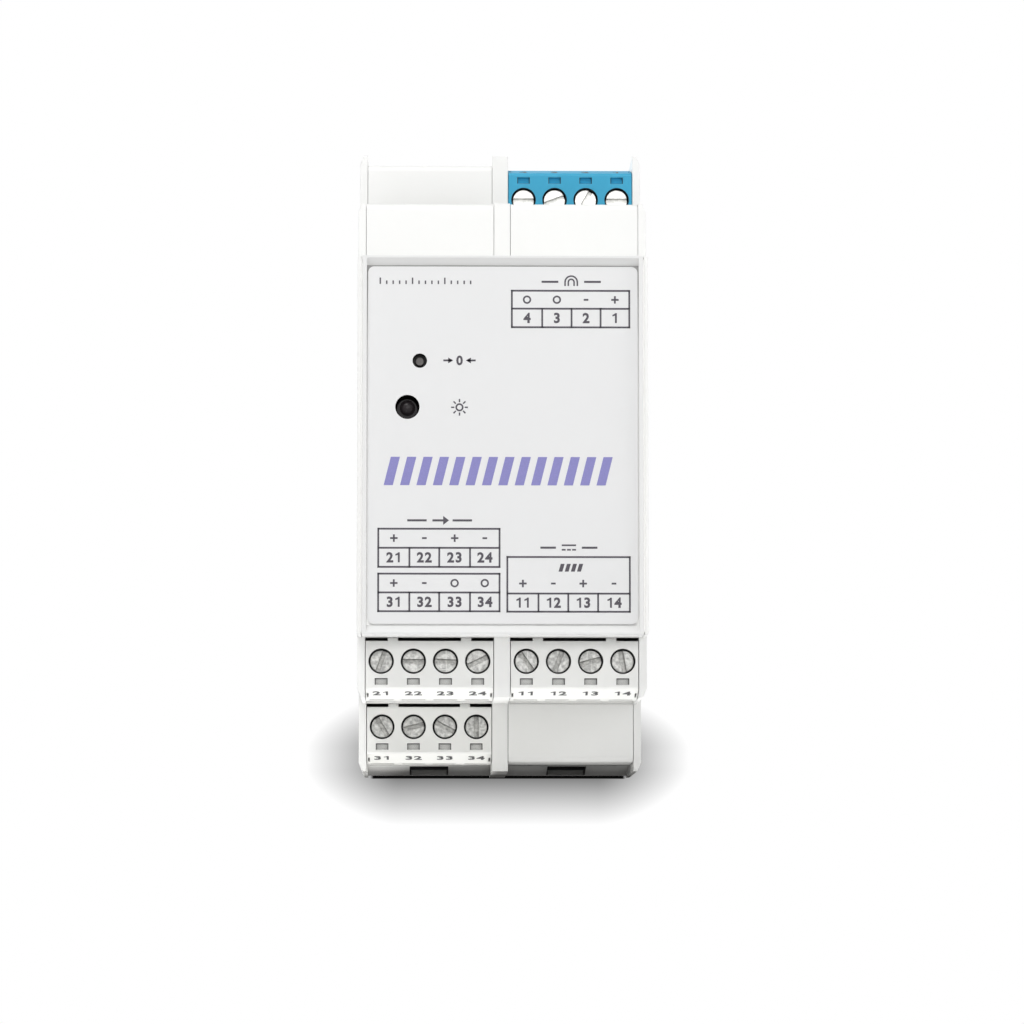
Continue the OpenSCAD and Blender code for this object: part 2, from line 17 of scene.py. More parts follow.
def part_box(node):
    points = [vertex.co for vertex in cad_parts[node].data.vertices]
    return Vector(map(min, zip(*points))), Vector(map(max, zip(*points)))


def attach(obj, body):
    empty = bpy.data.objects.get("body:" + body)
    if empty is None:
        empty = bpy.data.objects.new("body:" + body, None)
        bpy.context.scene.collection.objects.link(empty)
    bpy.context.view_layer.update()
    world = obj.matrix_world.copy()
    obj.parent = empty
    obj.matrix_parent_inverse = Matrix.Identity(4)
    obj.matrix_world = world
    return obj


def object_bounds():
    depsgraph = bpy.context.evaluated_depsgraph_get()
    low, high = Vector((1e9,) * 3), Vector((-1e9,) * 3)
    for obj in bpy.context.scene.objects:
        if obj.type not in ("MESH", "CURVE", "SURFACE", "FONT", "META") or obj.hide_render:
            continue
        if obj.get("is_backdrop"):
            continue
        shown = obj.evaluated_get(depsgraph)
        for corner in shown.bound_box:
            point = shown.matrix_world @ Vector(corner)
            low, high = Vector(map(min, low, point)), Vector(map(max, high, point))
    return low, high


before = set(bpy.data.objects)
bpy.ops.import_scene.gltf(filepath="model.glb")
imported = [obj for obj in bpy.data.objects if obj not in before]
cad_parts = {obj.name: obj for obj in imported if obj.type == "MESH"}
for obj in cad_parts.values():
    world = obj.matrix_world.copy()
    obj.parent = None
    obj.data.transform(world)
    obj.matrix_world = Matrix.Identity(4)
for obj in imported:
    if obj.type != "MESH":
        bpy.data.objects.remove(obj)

MM = 0.001
log = logging.getLogger("transmitter")

Colour = tuple[float, float, float]
Point = tuple[float, float]
Place = tuple[float, float, float]
Socket = bpy.types.NodeSocket

BLACK: Colour = (0.0, 0.0, 0.0)
WHITE: Colour = (1.0, 1.0, 1.0)
# Dust and grime colours, which a corner mask from ambient occlusion also uses as painted shade.
DUST_AND_SHADE: Colour = (0.62, 0.6, 0.56)
GRIME_AND_SHADE: Colour = (0.4, 0.37, 0.33)
# Near-black colour of the painted shade in deep gaps.
DEEP_SHADE: Colour = (0.03, 0.028, 0.026)


def linear(red: int, green: int, blue: int) -> Colour:
    """Turns a display colour into a scene-linear one.

    Args:
        red: red, from 0 to 255.
        green: green, from 0 to 255.
        blue: blue, from 0 to 255.

    Returns:
        The colour as three linear values.
    """
    def decode(value: int) -> float:
        """Decodes one display value."""
        c = value / 255
        return c / 12.92 if c <= 0.04045 else ((c + 0.055) / 1.055) ** 2.4

    return decode(red), decode(green), decode(blue)


def scaled(colour: Colour, factor: float) -> Colour:
    """Makes a linear colour lighter or darker, up to white."""
    return tuple(min(1.0, channel * factor) for channel in colour)


def middle_of(node: str) -> Place:
    """Finds the middle of a solid's box, in millimetres."""
    low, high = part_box(node)
    return tuple((a + b) / (2 * MM) for a, b in zip(low, high))


def moved(place: Matrix, x: float, y: float) -> Matrix:
    """Moves a place along its own face, in millimetres."""
    return place @ Matrix.Translation((x * MM, y * MM, 0))


def turned(place: Matrix, degrees: float) -> Matrix:
    """Turns a place on a face about its own middle."""
    return place @ Matrix.Rotation(math.radians(degrees), 4, "Z")


class Sign(Enum):
    """A sign printed over a terminal number."""

    PLUS = "+"
    MINUS = "-"
    RING = "o"


class End(Enum):
    """The end of the module that a plug looks out of."""

    TOP = 1
    BOTTOM = -1


# ---------------------------------------------------------------- shading


class Wiring:
    """Small helper that adds nodes to a tree and joins them."""

    def __init__(self, tree: bpy.types.NodeTree) -> None:
        """Takes the node tree of a material or of a group."""
        self.tree = tree

    def node(self, kind: str, **values: object) -> bpy.types.Node:
        """Adds a node.

        Args:
            kind: type name of the node.
            **values: properties to set on it.

        Returns:
            The new node.
        """
        made = self.tree.nodes.new(kind)
        for name, value in values.items():
            setattr(made, name, value)
        return made

    def link(self, start: Socket, end: Socket) -> None:
        """Joins an output socket to an input socket."""
        self.tree.links.new(start, end)

    def feed(self, socket: Socket, value: Socket | float | Colour) -> None:
        """Gives an input its value.

        Args:
            socket: the input.
            value: socket to link, number, or colour.
        """
        if isinstance(value, Socket):
            self.link(value, socket)
        elif isinstance(value, tuple):
            socket.default_value = (*value, 1)[:len(socket.default_value)]
        else:
            socket.default_value = value

    def math(self, operation: str, *values: Socket | float, clamp: bool = False) -> Socket:
        """Adds a math node.

        Args:
            operation: what it works out.
            *values: what it works on.
            clamp: whether the result is kept from 0 to 1.

        Returns:
            The socket with the result.
        """
        made = self.node("ShaderNodeMath", operation=operation, use_clamp=clamp)
        for socket, value in zip(made.inputs, values):
            self.feed(socket, value)
        return made.outputs[0]

    def times(self, first: Socket, *others: Socket | float) -> Socket:
        """Multiplies two or more values.

        Args:
            first: the first value.
            *others: the values to multiply it by.

        Returns:
            The socket with the product.
        """
        result = first
        for other in others:
            result = self.math("MULTIPLY", result, other)
        return result

    def minus(self, first: Socket | float, second: Socket | float) -> Socket:
        """Takes the second value from the first."""
        return self.math("SUBTRACT", first, second)

    def off(self, value: Socket, point: float = 0.0) -> Socket:
        """Measures how far a value lies from a number, to either side."""
        return self.math("ABSOLUTE", self.minus(value, point))

    def length(self, *parts: Socket) -> Socket:
        """Works out the length of a line from how far it goes across and up."""
        squares = [self.math("POWER", part, 2.0) for part in parts]
        return self.math("SQRT", self.math("ADD", *squares))

    def tint(self, amount: Socket, first: Socket | Colour, second: Socket | Colour,
             blend: str = "MIX") -> Socket:
        """Mixes two colours.

        Args:
            amount: mask of the second colour.
            first: colour under it.
            second: colour over it.
            blend: how they mix.

        Returns:
            The socket with the mixed colour.
        """
        made = self.node("ShaderNodeMixRGB", blend_type=blend)
        for socket, value in zip(made.inputs, (amount, first, second)):
            self.feed(socket, value)
        return made.outputs["Color"]

    def at(self) -> Socket:
        """Gives the place on the object, in metres."""
        return self.node("ShaderNodeTexCoord").outputs["Object"]

    def position(self) -> tuple[Socket, Socket, Socket]:
        """Splits the place on the object into its parts.

        Returns:
            Sockets of x, y and z, in millimetres.
        """
        split = self.node("ShaderNodeSeparateXYZ")
        self.link(self.at(), split.inputs[0])
        return tuple(self.times(part, 1 / MM) for part in split.outputs)

    def blend(self, amount: Socket, first: bpy.types.Node, second: bpy.types.Node,
              output: str = "ShaderNodeOutputMaterial") -> None:
        """Mixes two shaders and sends them to the output.

        Args:
            amount: mask of the second shader.
            first: shader under it.
            second: shader over it.
            output: type of the output node.
        """
        mix = self.node("ShaderNodeMixShader")
        for socket, value in zip(mix.inputs, (amount, first.outputs[0], second.outputs[0])):
            self.feed(socket, value)
        self.link(mix.outputs[0], self.node(output).inputs["Surface"])

    def noise(self, scale: float, detail: float, vector: Socket) -> Socket:
        """Adds a noise texture.

        Args:
            scale: features per metre.
            detail: number of octaves.
            vector: coordinates to read it at.

        Returns:
            The socket with the noise.
        """
        made = self.node("ShaderNodeTexNoise")
        made.inputs["Scale"].default_value = scale
        made.inputs["Detail"].default_value = detail
        self.link(vector, made.inputs["Vector"])
        return made.outputs["Fac"]

    def spread(self, value: Socket, low: float, high: float, to_low: float,
               to_high: float) -> Socket:
        """Maps a value from one range to another, clamped.

        Args:
            value: socket to map.
            low: start of the range read.
            high: end of the range read.
            to_low: result at the start.
            to_high: result at the end.

        Returns:
            The socket with the result.
        """
        made = self.node("ShaderNodeMapRange")
        for name, number in (("From Min", low), ("From Max", high),
                             ("To Min", to_low), ("To Max", to_high)):
            made.inputs[name].default_value = number
        self.link(value, made.inputs["Value"])
        return made.outputs["Result"]


Group = tuple[bpy.types.NodeTree, Wiring, bpy.types.Node, bpy.types.Node]


class Effects:
    """Node groups that several finishes share, each built once."""

    RIPPLES = 140.0
    GRAINS = 5200.0
    CLOUDS = 38.0
    SMUDGES = 900.0
    SAMPLES = 6
    SCRATCHES = ((0.5, (60.0, 60.0, 2600.0)), (-0.9, (2200.0, 60.0, 70.0)))

    def __init__(self) -> None:
        """Builds the groups."""
        self.moulded = self._moulded()
        self.dust = self._dust()
        self.soft_edge = self._soft_edge()
        self.scuffs = self._scuffs()

    @staticmethod
    def _group(name: str, inputs: dict[str, float], outputs: dict[str, str]) -> Group:
        """Starts a node group.

        Args:
            name: name of the group.
            inputs: number inputs and their defaults.
            outputs: output names and their socket types.

        Returns:
            The tree, its wiring, its input node and its output node.
        """
        tree = bpy.data.node_groups.new(name, "ShaderNodeTree")
        for label, default in inputs.items():
            socket = tree.interface.new_socket(label, in_out="INPUT", socket_type="NodeSocketFloat")
            socket.default_value = default
        for label, kind in outputs.items():
            tree.interface.new_socket(label, in_out="OUTPUT", socket_type=kind)
        wiring = Wiring(tree)
        return tree, wiring, wiring.node("NodeGroupInput"), wiring.node("NodeGroupOutput")

    def _moulded(self) -> bpy.types.NodeTree:
        """Builds the skin of moulded plastic: fine grain over slow ripples.

        Returns:
            A group with Grain and Ripple in, and Height and Cloud out.
        """
        tree, w, start, end = self._group(
            "moulded_skin", {"Grain": 1.0, "Ripple": 1.0},
            {"Height": "NodeSocketFloat", "Cloud": "NodeSocketFloat"})
        at = w.at()
        ripple = w.times(w.noise(self.RIPPLES, 2, at), start.outputs["Ripple"])
        grain = w.noise(self.GRAINS, 3, at)
        w.link(w.math("MULTIPLY_ADD", grain, start.outputs["Grain"], ripple), end.inputs["Height"])
        w.link(w.noise(self.CLOUDS, 3, at), end.inputs["Cloud"])
        return tree

    def _dust(self) -> bpy.types.NodeTree:
        """Builds a mask of dust mixed with painted shade in corners, and a mask of painted shade in
        deep gaps.

        Returns:
            A group with Reach in, and Mask and DeepShade out.
        """
        tree, w, start, end = self._group(
            "corner_dust_and_shade", {"Reach": 0.002},
            {"Mask": "NodeSocketFloat", "DeepShade": "NodeSocketFloat"})
        sky = w.node("ShaderNodeAmbientOcclusion", samples=self.SAMPLES)
        w.link(start.outputs["Reach"], sky.inputs["Distance"])
        broken = w.spread(w.noise(self.SMUDGES, 3, w.at()), 0.35, 0.7, 0.4, 1.0)
        # Corners darkened by ambient occlusion: dust together with painted shade.
        corner = w.spread(sky.outputs["AO"], 0.25, 0.85, 1.0, 0.0)
        w.link(w.times(broken, corner), end.inputs["Mask"])
        # Deep gaps get painted shade from ambient occlusion.
        w.link(w.spread(sky.outputs["AO"], 0.08, 0.5, 1.0, 0.0), end.inputs["DeepShade"])
        return tree

    def _soft_edge(self) -> bpy.types.NodeTree:
        """Builds the small radius that a mould leaves on every edge.

        Returns:
            A group with Radius in, and Normal and Edge out.
        """
        tree, w, start, end = self._group(
            "mould_radius", {"Radius": 0.0002},
            {"Normal": "NodeSocketVector", "Edge": "NodeSocketFloat"})
        rounding = w.node("ShaderNodeBevel", samples=self.SAMPLES)
        w.link(start.outputs["Radius"], rounding.inputs["Radius"])
        w.link(rounding.outputs["Normal"], end.inputs["Normal"])
        turn = w.node("ShaderNodeVectorMath", operation="DOT_PRODUCT")
        w.link(rounding.outputs["Normal"], turn.inputs[0])
        w.link(w.node("ShaderNodeNewGeometry").outputs["True Normal"], turn.inputs[1])
        w.link(w.spread(turn.outputs["Value"], 0.82, 0.995, 1.0, 0.0), end.inputs["Edge"])
        return tree

    def _scuffs(self) -> bpy.types.NodeTree:
        """Builds thin scratches in two directions.

        Returns:
            A group with Density in and Mask out.
        """
        tree, w, start, end = self._group(
            "scuffs", {"Density": 1.0}, {"Mask": "NodeSocketFloat"})
        at = w.at()
        masks = []
        for angle, scale in self.SCRATCHES:
            place = w.node("ShaderNodeMapping")
            place.inputs["Rotation"].default_value = (0, angle, 0)
            place.inputs["Scale"].default_value = scale
            w.link(at, place.inputs["Vector"])
            lines = w.noise(1, 2, place.outputs["Vector"])
            masks.append(w.spread(lines, 0.62, 0.72, 0.0, 1.0))
        both = w.math("MAXIMUM", *masks)
        w.link(w.math("MULTIPLY", both, start.outputs["Density"], clamp=True), end.inputs["Mask"])
        return tree


def start_material(name: str) -> tuple[bpy.types.Material, Wiring, bpy.types.Node]:
    """Starts a material with one Principled shader.

    Args:
        name: name of the material.

    Returns:
        The material, its wiring and its shader node.
    """
    material, wiring = bare_material(name)
    shader = wiring.node("ShaderNodeBsdfPrincipled")
    wiring.link(shader.outputs["BSDF"],
                wiring.node("ShaderNodeOutputMaterial").inputs["Surface"])
    return material, wiring, shader


def bare_material(name: str) -> tuple[bpy.types.Material, Wiring]:
    """Starts a material without any node.

    Args:
        name: name of the material.

    Returns:
        The material and its wiring.
    """
    material = bpy.data.materials.new(name)
    material.use_nodes = True
    material.node_tree.nodes.clear()
    return material, Wiring(material.node_tree)


def add_bump(w: Wiring, shader: bpy.types.Node, skin: bpy.types.Node, edge: bpy.types.Node,
             relief: float) -> None:
    """Gives a shader its surface relief and its soft edges.

    Args:
        w: wiring of the material.
        shader: shader to bump.
        skin: group that gives the height.
        edge: group that gives the rounded normal.
        relief: height of the relief, in metres.
    """
    bump = w.node("ShaderNodeBump")
    bump.inputs["Distance"].default_value = relief
    w.link(skin.outputs["Height"], bump.inputs["Height"])
    w.link(edge.outputs["Normal"], bump.inputs["Normal"])
    w.link(bump.outputs["Normal"], shader.inputs["Normal"])


def add_group(w: Wiring, tree: bpy.types.NodeTree, **values: float) -> bpy.types.Node:
    """Places a node group in a material.

    Args:
        w: wiring of the material.
        tree: the group.
        **values: values of its inputs.

    Returns:
        The group node.
    """
    made = w.node("ShaderNodeGroup", node_tree=tree)
    for name, value in values.items():
        made.inputs[name].default_value = value
    return made


# ---------------------------------------------------------------- finishes


@dataclass(frozen=True)
class Plastic:
    """Finish of a moulded plastic part, with its fine sizes in metres."""

    name: str
    colour: Colour
    roughness: float = 0.45
    rough_swing: Point = (-0.05, 0.06)
    specular: float = 0.42
    clouding: Point = (0.965, 1.02)
    grain: float = 0.5
    ripple: float = 1.0
    relief: float = 0.000006
    radius: float = 0.00018
    dust: float = 0.25
    dust_reach: float = 0.0016
    depth: float = 0.85
    bright_edge: float = 0.0
    seam_light: Colour = (0.8, 0.8, 0.79)

    def build(self, effects: Effects) -> bpy.types.Material:
        """Makes the material.

        Args:
            effects: the shared node groups.

        Returns:
            The material.
        """
        material, w, shader = start_material(self.name)
        skin = add_group(w, effects.moulded, Grain=self.grain, Ripple=self.ripple)
        edge = add_group(w, effects.soft_edge, Radius=self.radius)
        cloud = skin.outputs["Cloud"]
        dull, clear = (scaled(self.colour, factor) for factor in self.clouding)
        colour = w.tint(cloud, dull, clear)
        if self.dust:
            dust = add_group(w, effects.dust, Reach=self.dust_reach).outputs
            # Dust and painted shade in corners, then near-black painted shade in deep gaps.
            colour = w.tint(w.times(dust["Mask"], self.dust), colour, DUST_AND_SHADE, "MULTIPLY")
            colour = w.tint(w.times(dust["DeepShade"], self.depth), colour, DEEP_SHADE)
        # Painted highlight: rounded edges are mixed towards white.
        if self.bright_edge:
            colour = w.tint(w.times(edge.outputs["Edge"], self.bright_edge), colour, WHITE)
        w.link(self._shaded(w, colour), shader.inputs["Base Color"])
        # Painted light: seams glow by emission, though they are no lamp.
        seams = self._lit_seams(w)
        if seams:
            w.link(w.tint(seams, BLACK, self.seam_light), shader.inputs["Emission Color"])
            shader.inputs["Emission Strength"].default_value = 1.0
            material.cycles.emission_sampling = "NONE"
        smooth, rough = (self.roughness + swing for swing in self.rough_swing)
        w.link(w.spread(cloud, 0.3, 0.7, smooth, rough), shader.inputs["Roughness"])
        add_bump(w, shader, skin, edge, self.relief)
        shader.inputs["Specular IOR Level"].default_value = self.specular
        return material

    def _shaded(self, w: Wiring, colour: Socket) -> Socket:
        """Gives a finish the chance to paint shade on some places of its colour."""
        return colour

    def _lit_seams(self, w: Wiring) -> Socket | None:
        """Gives a finish the chance to paint a glow into its seams, as emission, by their mask."""
        return None


@dataclass(frozen=True, kw_only=True)
class CoverPlastic(Plastic):
    """Plastic of the cover, with painted shade in its holes and in the seam round the label.

    Places are in millimetres, and a hole is given by the middle and radius of its rim.
    """

    seam_y: float
    holes: tuple[Place, ...]
    seam_half: Point = (0.02, 0.06)
    corner_x: float = 20.0
    corner_z: float = 28.0
    soot_low: float = 0.05
    soot_top: float = 0.55
    soot_right: float = 0.15
    upright_x: Point = (20.4, 20.8)
    upright_z: Point = (15.0, 28.0)
    seep: float = 0.3
    hole_rim: Point = (0.03, 0.06)
    hole_colour: Colour = (0.006, 0.005, 0.005)

    def _shaded(self, w: Wiring, colour: Socket) -> Socket:
        """Paints shade into the seam and the holes.

        Args:
            w: wiring of the material.
            colour: colour of the surface so far.

        Returns:
            The colour to use.
        """
        x, y, z = w.position()
        seam = w.spread(w.off(y, self.seam_y), *self.seam_half, 1.0, 0.0)
        # Painted shade in the seam, growing towards the top and towards the right.
        seam_shade = w.math("MAXIMUM", w.spread(z, 0.0, self.corner_z, self.soot_low, self.soot_top),
                      w.spread(x, 0.0, self.corner_x, self.soot_low, self.soot_right))
        mask = w.times(seam, seam_shade)
        # Painted shade on the walls of the button's and the light's holes.
        for middle_x, middle_z, radius in self.holes:
            far = w.length(w.minus(x, middle_x), w.minus(z, middle_z))
            inner, outer = (radius + rim for rim in self.hole_rim)
            mask = w.math("MAXIMUM", mask, w.spread(far, inner, outer, 1.0, 0.0))
        return w.tint(mask, colour, self.hole_colour)

    def _lit_seams(self, w: Wiring) -> Socket | None:
        """Paints a glow, by emission, into the two upright seams of the label.

        Args:
            w: wiring of the material.

        Returns:
            A mask of the floor of the seams.
        """
        x, y, z = w.position()
        floor = w.spread(w.off(y, self.seam_y), *self.seam_half, self.seep, 0.0)
        upright = w.times(w.spread(w.off(x), *self.upright_x, 0.0, 1.0),
                          w.spread(z, *self.upright_z, 1.0, 0.0))
        return w.times(floor, upright)


@dataclass(frozen=True, kw_only=True)
class HousingPlastic(Plastic):
    """Plastic of the housing: painted shade in its latch windows, and a painted glow in its finest
    seams.

    Places are in millimetres. A step is the outer front edge of a blank cover, as y and z.
    """

    column: float
    cover_half: Point
    steps: tuple[Point, Point]
    window_half: float = 3.15
    window_y: Point = (-57.2, -48.95)
    window_rim_z: float = 48.08
    window_line: float = 0.3
    cover_gap: float = 0.1
    cover_seam_y: float = -99.0
    cover_seep: float = 0.75
    cover_margin: float = 0.4
    bay_half: float = 10.025
    bay_seep: float = 0.45
    step_margin: Point = (0.4, 0.3)
    seam_depth: float = 3.5
    soft: float = 0.05

    def _shaded(self, w: Wiring, colour: Socket) -> Socket:
        """Paints shade on the walls of the windows, most of all along their rims.

        Args:
            w: wiring of the material.
            colour: colour of the surface so far.

        Returns:
            The colour to use.
        """
        x, y, z = w.position()
        across = w.minus(w.off(w.off(x), self.column), self.window_half)
        start, stop = self.window_y
        past = w.math("MAXIMUM", w.minus(start, y), w.minus(y, stop))
        inside = w.spread(w.math("MAXIMUM", past, w.minus(across, 0.03)), -0.02, 0.0, 1.0, 0.0)
        over = w.minus(self.window_rim_z, w.off(z))
        line = self.window_line
        rim = w.spread(w.math("MAXIMUM", across, over), -line, -0.4 * line, 0.4, 0.96)
        # Painted shade: the window walls go almost black, most of all at the rims.
        return w.tint(w.times(inside, rim), colour, scaled(self.colour, 0.015))

    def _lit_seams(self, w: Wiring) -> Socket | None:
        """Paints a glow, by emission, into the seams beside the cover and beside the upper blank
        covers.
        """
        return w.math("MAXIMUM", self._beside_cover(w), self._beside_blanks(w))

    def _face(self, w: Wiring, off: Socket, seep: float) -> Socket:
        """Picks out a face, from how far a place lies off it and how strong its painted glow is."""
        return w.spread(off, 0.02, 0.03, seep, 0.0)

    def _beside_cover(self, w: Wiring) -> Socket:
        """Picks out the side walls' inner faces beside the cover.

        Args:
            w: wiring of the material.

        Returns:
            The socket with the mask.
        """
        x, y, z = w.position()
        half_x, half_z = self.cover_half
        wall = self._face(w, w.off(w.off(x), half_x + self.cover_gap), self.cover_seep)
        front = w.spread(y, self.cover_seam_y - 2 * self.soft, self.cover_seam_y, 1.0, 0.0)
        end_z = half_z - self.cover_margin
        beside = w.spread(w.off(z), end_z - 2 * self.soft, end_z, 1.0, 0.0)
        return w.times(wall, front, beside)

    def _beside_blanks(self, w: Wiring) -> Socket:
        """Picks out the bays' inner faces beside the three upper blank covers.

        Args:
            w: wiring of the material.

        Returns:
            The socket with the mask.
        """
        x, y, z = w.position()
        margin_y, margin_z = self.step_margin
        half = self.seam_depth / 2
        levels = []
        for step_y, step_z in self.steps:
            deep = w.spread(w.off(y, step_y + margin_y + half), half - self.soft, half, 1.0, 0.0)
            top = step_z - margin_z
            levels.append(w.times(deep, w.spread(z, top - self.soft, top, 1.0, 0.0)))
        near, far = levels
        left = w.spread(x, -self.soft, 0.0, 1.0, 0.0)
        low = self.cover_half[1] - self.cover_margin
        level = w.times(w.math("MAXIMUM", near, w.times(far, left)),
                        w.spread(z, low, low + self.soft, 0.0, 1.0))
        bay = w.off(w.off(w.off(x), self.column), self.bay_half)
        return w.times(self._face(w, bay, self.bay_seep), level)


@dataclass(frozen=True)
class Grid:
    """How the screws repeat across and up both ends, and where the steps are.

    Places are in millimetres, measured from the middle of the module.
    """

    first_x: float
    pitch: float
    screw_z: float
    row: float
    inner_z: float
    step_z: float

    @classmethod
    def read(cls) -> "Grid":
        """Reads the grid from the solids.

        Returns:
            The grid.
        """
        first, beside, far = (middle_of(f"screw_{number}") for number in (11, 12, 31))
        return cls(first_x=abs(first[0]), pitch=abs(beside[0] - first[0]),
                   screw_z=abs(first[2]), row=abs(far[2] - first[2]),
                   inner_z=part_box("front_cover")[1][2] / MM,
                   step_z=-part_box("plug_shell_11")[0][2] / MM)


@dataclass(frozen=True, kw_only=True)
class PlugPlastic(Plastic):
    """Plastic of a plug, with painted shade round its screw heads, in its slots and under the
    cover's edge.

    Sizes are in millimetres. The places repeat from terminal to terminal and from
    row to row, so they are folded onto one terminal.
    """

    grid: Grid
    hole: float = 1.95
    slot_rise: float = 3.15
    slot_half: Point = (0.985, 0.5)
    line: float = 0.16
    lee: Point = (2.0, 0.95)
    lee_depth: float = 0.49
    slot_colour: Colour | None = None

    def _folded(self, w: Wiring, part: Socket, first: float, step: float) -> Socket:
        """Measures how far a coordinate lies from the nearest of a row of points."""
        start = w.minus(w.off(part), first - 2.5 * step)
        return w.minus(w.math("MODULO", start, step), step / 2)

    def _lee(self, w: Wiring, z: Socket, up: Socket) -> Socket:
        """Works out the soft shade that the step in front throws on a plug's face.

        Args:
            w: wiring of the material.
            z: height of the place.
            up: the same, from the nearest screw outwards.

        Returns:
            The socket with the mask.
        """
        inner = self.grid.inner_z - self.grid.screw_z
        reach = w.spread(w.off(z), self.grid.step_z - 0.05, self.grid.step_z, *self.lee)
        share = w.math("DIVIDE", w.minus(up, inner), reach)
        return w.times(w.spread(share, 0.0, 1.0, self.lee_depth, 0.0),
                       w.spread(up, inner + 0.01, inner + 0.04, 0.0, 1.0))

    def _shaded(self, w: Wiring, colour: Socket) -> Socket:
        """Paints shade into the holes of the screws, the slots and the lee of the step in front.

        Args:
            w: wiring of the material.
            colour: colour of the surface so far.

        Returns:
            The colour to use.
        """
        x, _, z = w.position()
        grid, line = self.grid, self.line
        across = self._folded(w, x, grid.first_x, grid.pitch)
        up = self._folded(w, z, grid.screw_z, grid.row)
        hole = w.spread(w.length(across, up), self.hole + 0.01, self.hole + 0.04, 0.97, 0.0)
        rise = self._folded(w, z, grid.screw_z + self.slot_rise, grid.row)
        half_x, half_z = self.slot_half
        past, over = w.minus(w.off(across), half_x), w.minus(w.off(rise), half_z)
        under = w.minus(w.times(rise, -1.0), half_z)
        inside = w.spread(w.math("MAXIMUM", past, over), 0.0, 0.02, 1.0, 0.0)
        rim = w.spread(w.math("MAXIMUM", past, under), -line, -0.5 * line, 0.0, 0.85)
        colour = w.tint(self._lee(w, z, up), colour, scaled(self.colour, 0.2))
        if self.slot_colour:
            colour = w.tint(inside, colour, self.slot_colour)
        # Painted shade: screw holes and slot rims go almost black.
        dark = w.math("MAXIMUM", hole, w.times(inside, rim))
        return w.tint(dark, colour, scaled(self.colour, 0.03))


@dataclass(frozen=True, kw_only=True)
class ButtonPlastic(Plastic):
    """Plastic of the zero button, with painted shade where it lies deep in its hole.

    Places are in millimetres.
    """

    tip_y: float
    tip_side: float = 0.3

    def _shaded(self, w: Wiring, colour: Socket) -> Socket:
        """Paints shade on all that lies behind the tip.

        Args:
            w: wiring of the material.
            colour: colour of the surface so far.

        Returns:
            The colour to use.
        """
        _, y, _ = w.position()
        behind = w.spread(y, self.tip_y, self.tip_y + self.tip_side, 0.0, 1.0)
        # Painted shade behind the tip.
        return w.tint(behind, colour, scaled(self.colour, 0.02))


@dataclass(frozen=True)
class Metal:
    """Finish of a plated or bright metal part, with its fine sizes in metres."""

    name: str
    colour: Colour
    roughness: float = 0.36
    scratches: float = 0.5
    mottle: float = 0.12
    metallic: float = 0.92
    grain: float = 0.6
    ripple: float = 1.4
    relief: float = 0.00001
    radius: float = 0.00012
    dust: float = 0.35
    dust_reach: float = 0.0009
    patches: float = 1800.0
    scratch_glint: float = 1.5
    scratch_rough: float = 0.15

    def build(self, effects: Effects) -> bpy.types.Material:
        """Makes the material.

        Args:
            effects: the shared node groups.

        Returns:
            The material.
        """
        material, w, shader = start_material(self.name)
        shader.inputs["Metallic"].default_value = self.metallic
        skin = add_group(w, effects.moulded, Grain=self.grain, Ripple=self.ripple)
        edge = add_group(w, effects.soft_edge, Radius=self.radius)
        scuffs = add_group(w, effects.scuffs, Density=self.scratches).outputs["Mask"]
        dust = add_group(w, effects.dust, Reach=self.dust_reach).outputs["Mask"]
        patches = w.spread(w.noise(self.patches, 4, w.at()), 0.36, 0.64, 0.0, 1.0)
        colour = w.tint(patches, scaled(self.colour, 1.0 - self.mottle),
                        scaled(self.colour, 1.0 + self.mottle))
        colour = w.tint(scuffs, colour, scaled(self.colour, self.scratch_glint))
        # Grime and painted shade in corners.
        colour = w.tint(w.times(dust, self.dust), colour, GRIME_AND_SHADE, "MULTIPLY")
        w.link(colour, shader.inputs["Base Color"])
        rough = w.spread(scuffs, 0, 1, self.roughness, self.roughness + self.scratch_rough)
        w.link(rough, shader.inputs["Roughness"])
        add_bump(w, shader, skin, edge, self.relief)
        return material


@dataclass(frozen=True)
class Ink:
    """Finish of screen-printed ink."""

    name: str
    colour: Colour
    roughness: float = 0.5
    grain: float = 1.0
    ripple: float = 0.2
    mottling: Point = (0.86, 1.15)

    def build(self, effects: Effects) -> bpy.types.Material:
        """Makes the material.

        Args:
            effects: the shared node groups.

        Returns:
            The material.
        """
        material, w, shader = start_material(self.name)
        skin = add_group(w, effects.moulded, Grain=self.grain, Ripple=self.ripple)
        thick, thin = (scaled(self.colour, factor) for factor in self.mottling)
        w.link(w.tint(skin.outputs["Height"], thick, thin), shader.inputs["Base Color"])
        shader.inputs["Roughness"].default_value = self.roughness
        return material


@dataclass(frozen=True)
class Lens:
    """Finish of the dark tinted light pipe, with painted shade outside its round face.

    Sizes are in millimetres.
    """

    name: str
    colour: Colour
    axis: Point = (-14.8, 5.65)
    face: float = 1.5
    rim: float = 0.12
    roughness: float = 0.22
    specular: float = 0.2
    grain: float = 0.2
    ripple: float = 1.0

    def build(self, effects: Effects) -> bpy.types.Material:
        """Makes the material.

        Args:
            effects: the shared node groups.

        Returns:
            The material.
        """
        material, w, shader = start_material(self.name)
        skin = add_group(w, effects.moulded, Grain=self.grain, Ripple=self.ripple)
        colour = w.tint(skin.outputs["Cloud"], self.colour, scaled(self.colour, 1.4))
        x, _, z = w.position()
        far = w.length(*(w.minus(part, point) for part, point in zip((x, z), self.axis)))
        # Painted shade: outside the face the colour goes nearly black and loses its specular.
        outside = w.spread(far, self.face, self.face + self.rim, 0.0, 1.0)
        w.link(w.tint(outside, colour, scaled(self.colour, 0.1)), shader.inputs["Base Color"])
        w.link(w.spread(outside, 0, 1, self.specular, 0.0), shader.inputs["Specular IOR Level"])
        shader.inputs["Roughness"].default_value = self.roughness
        return material


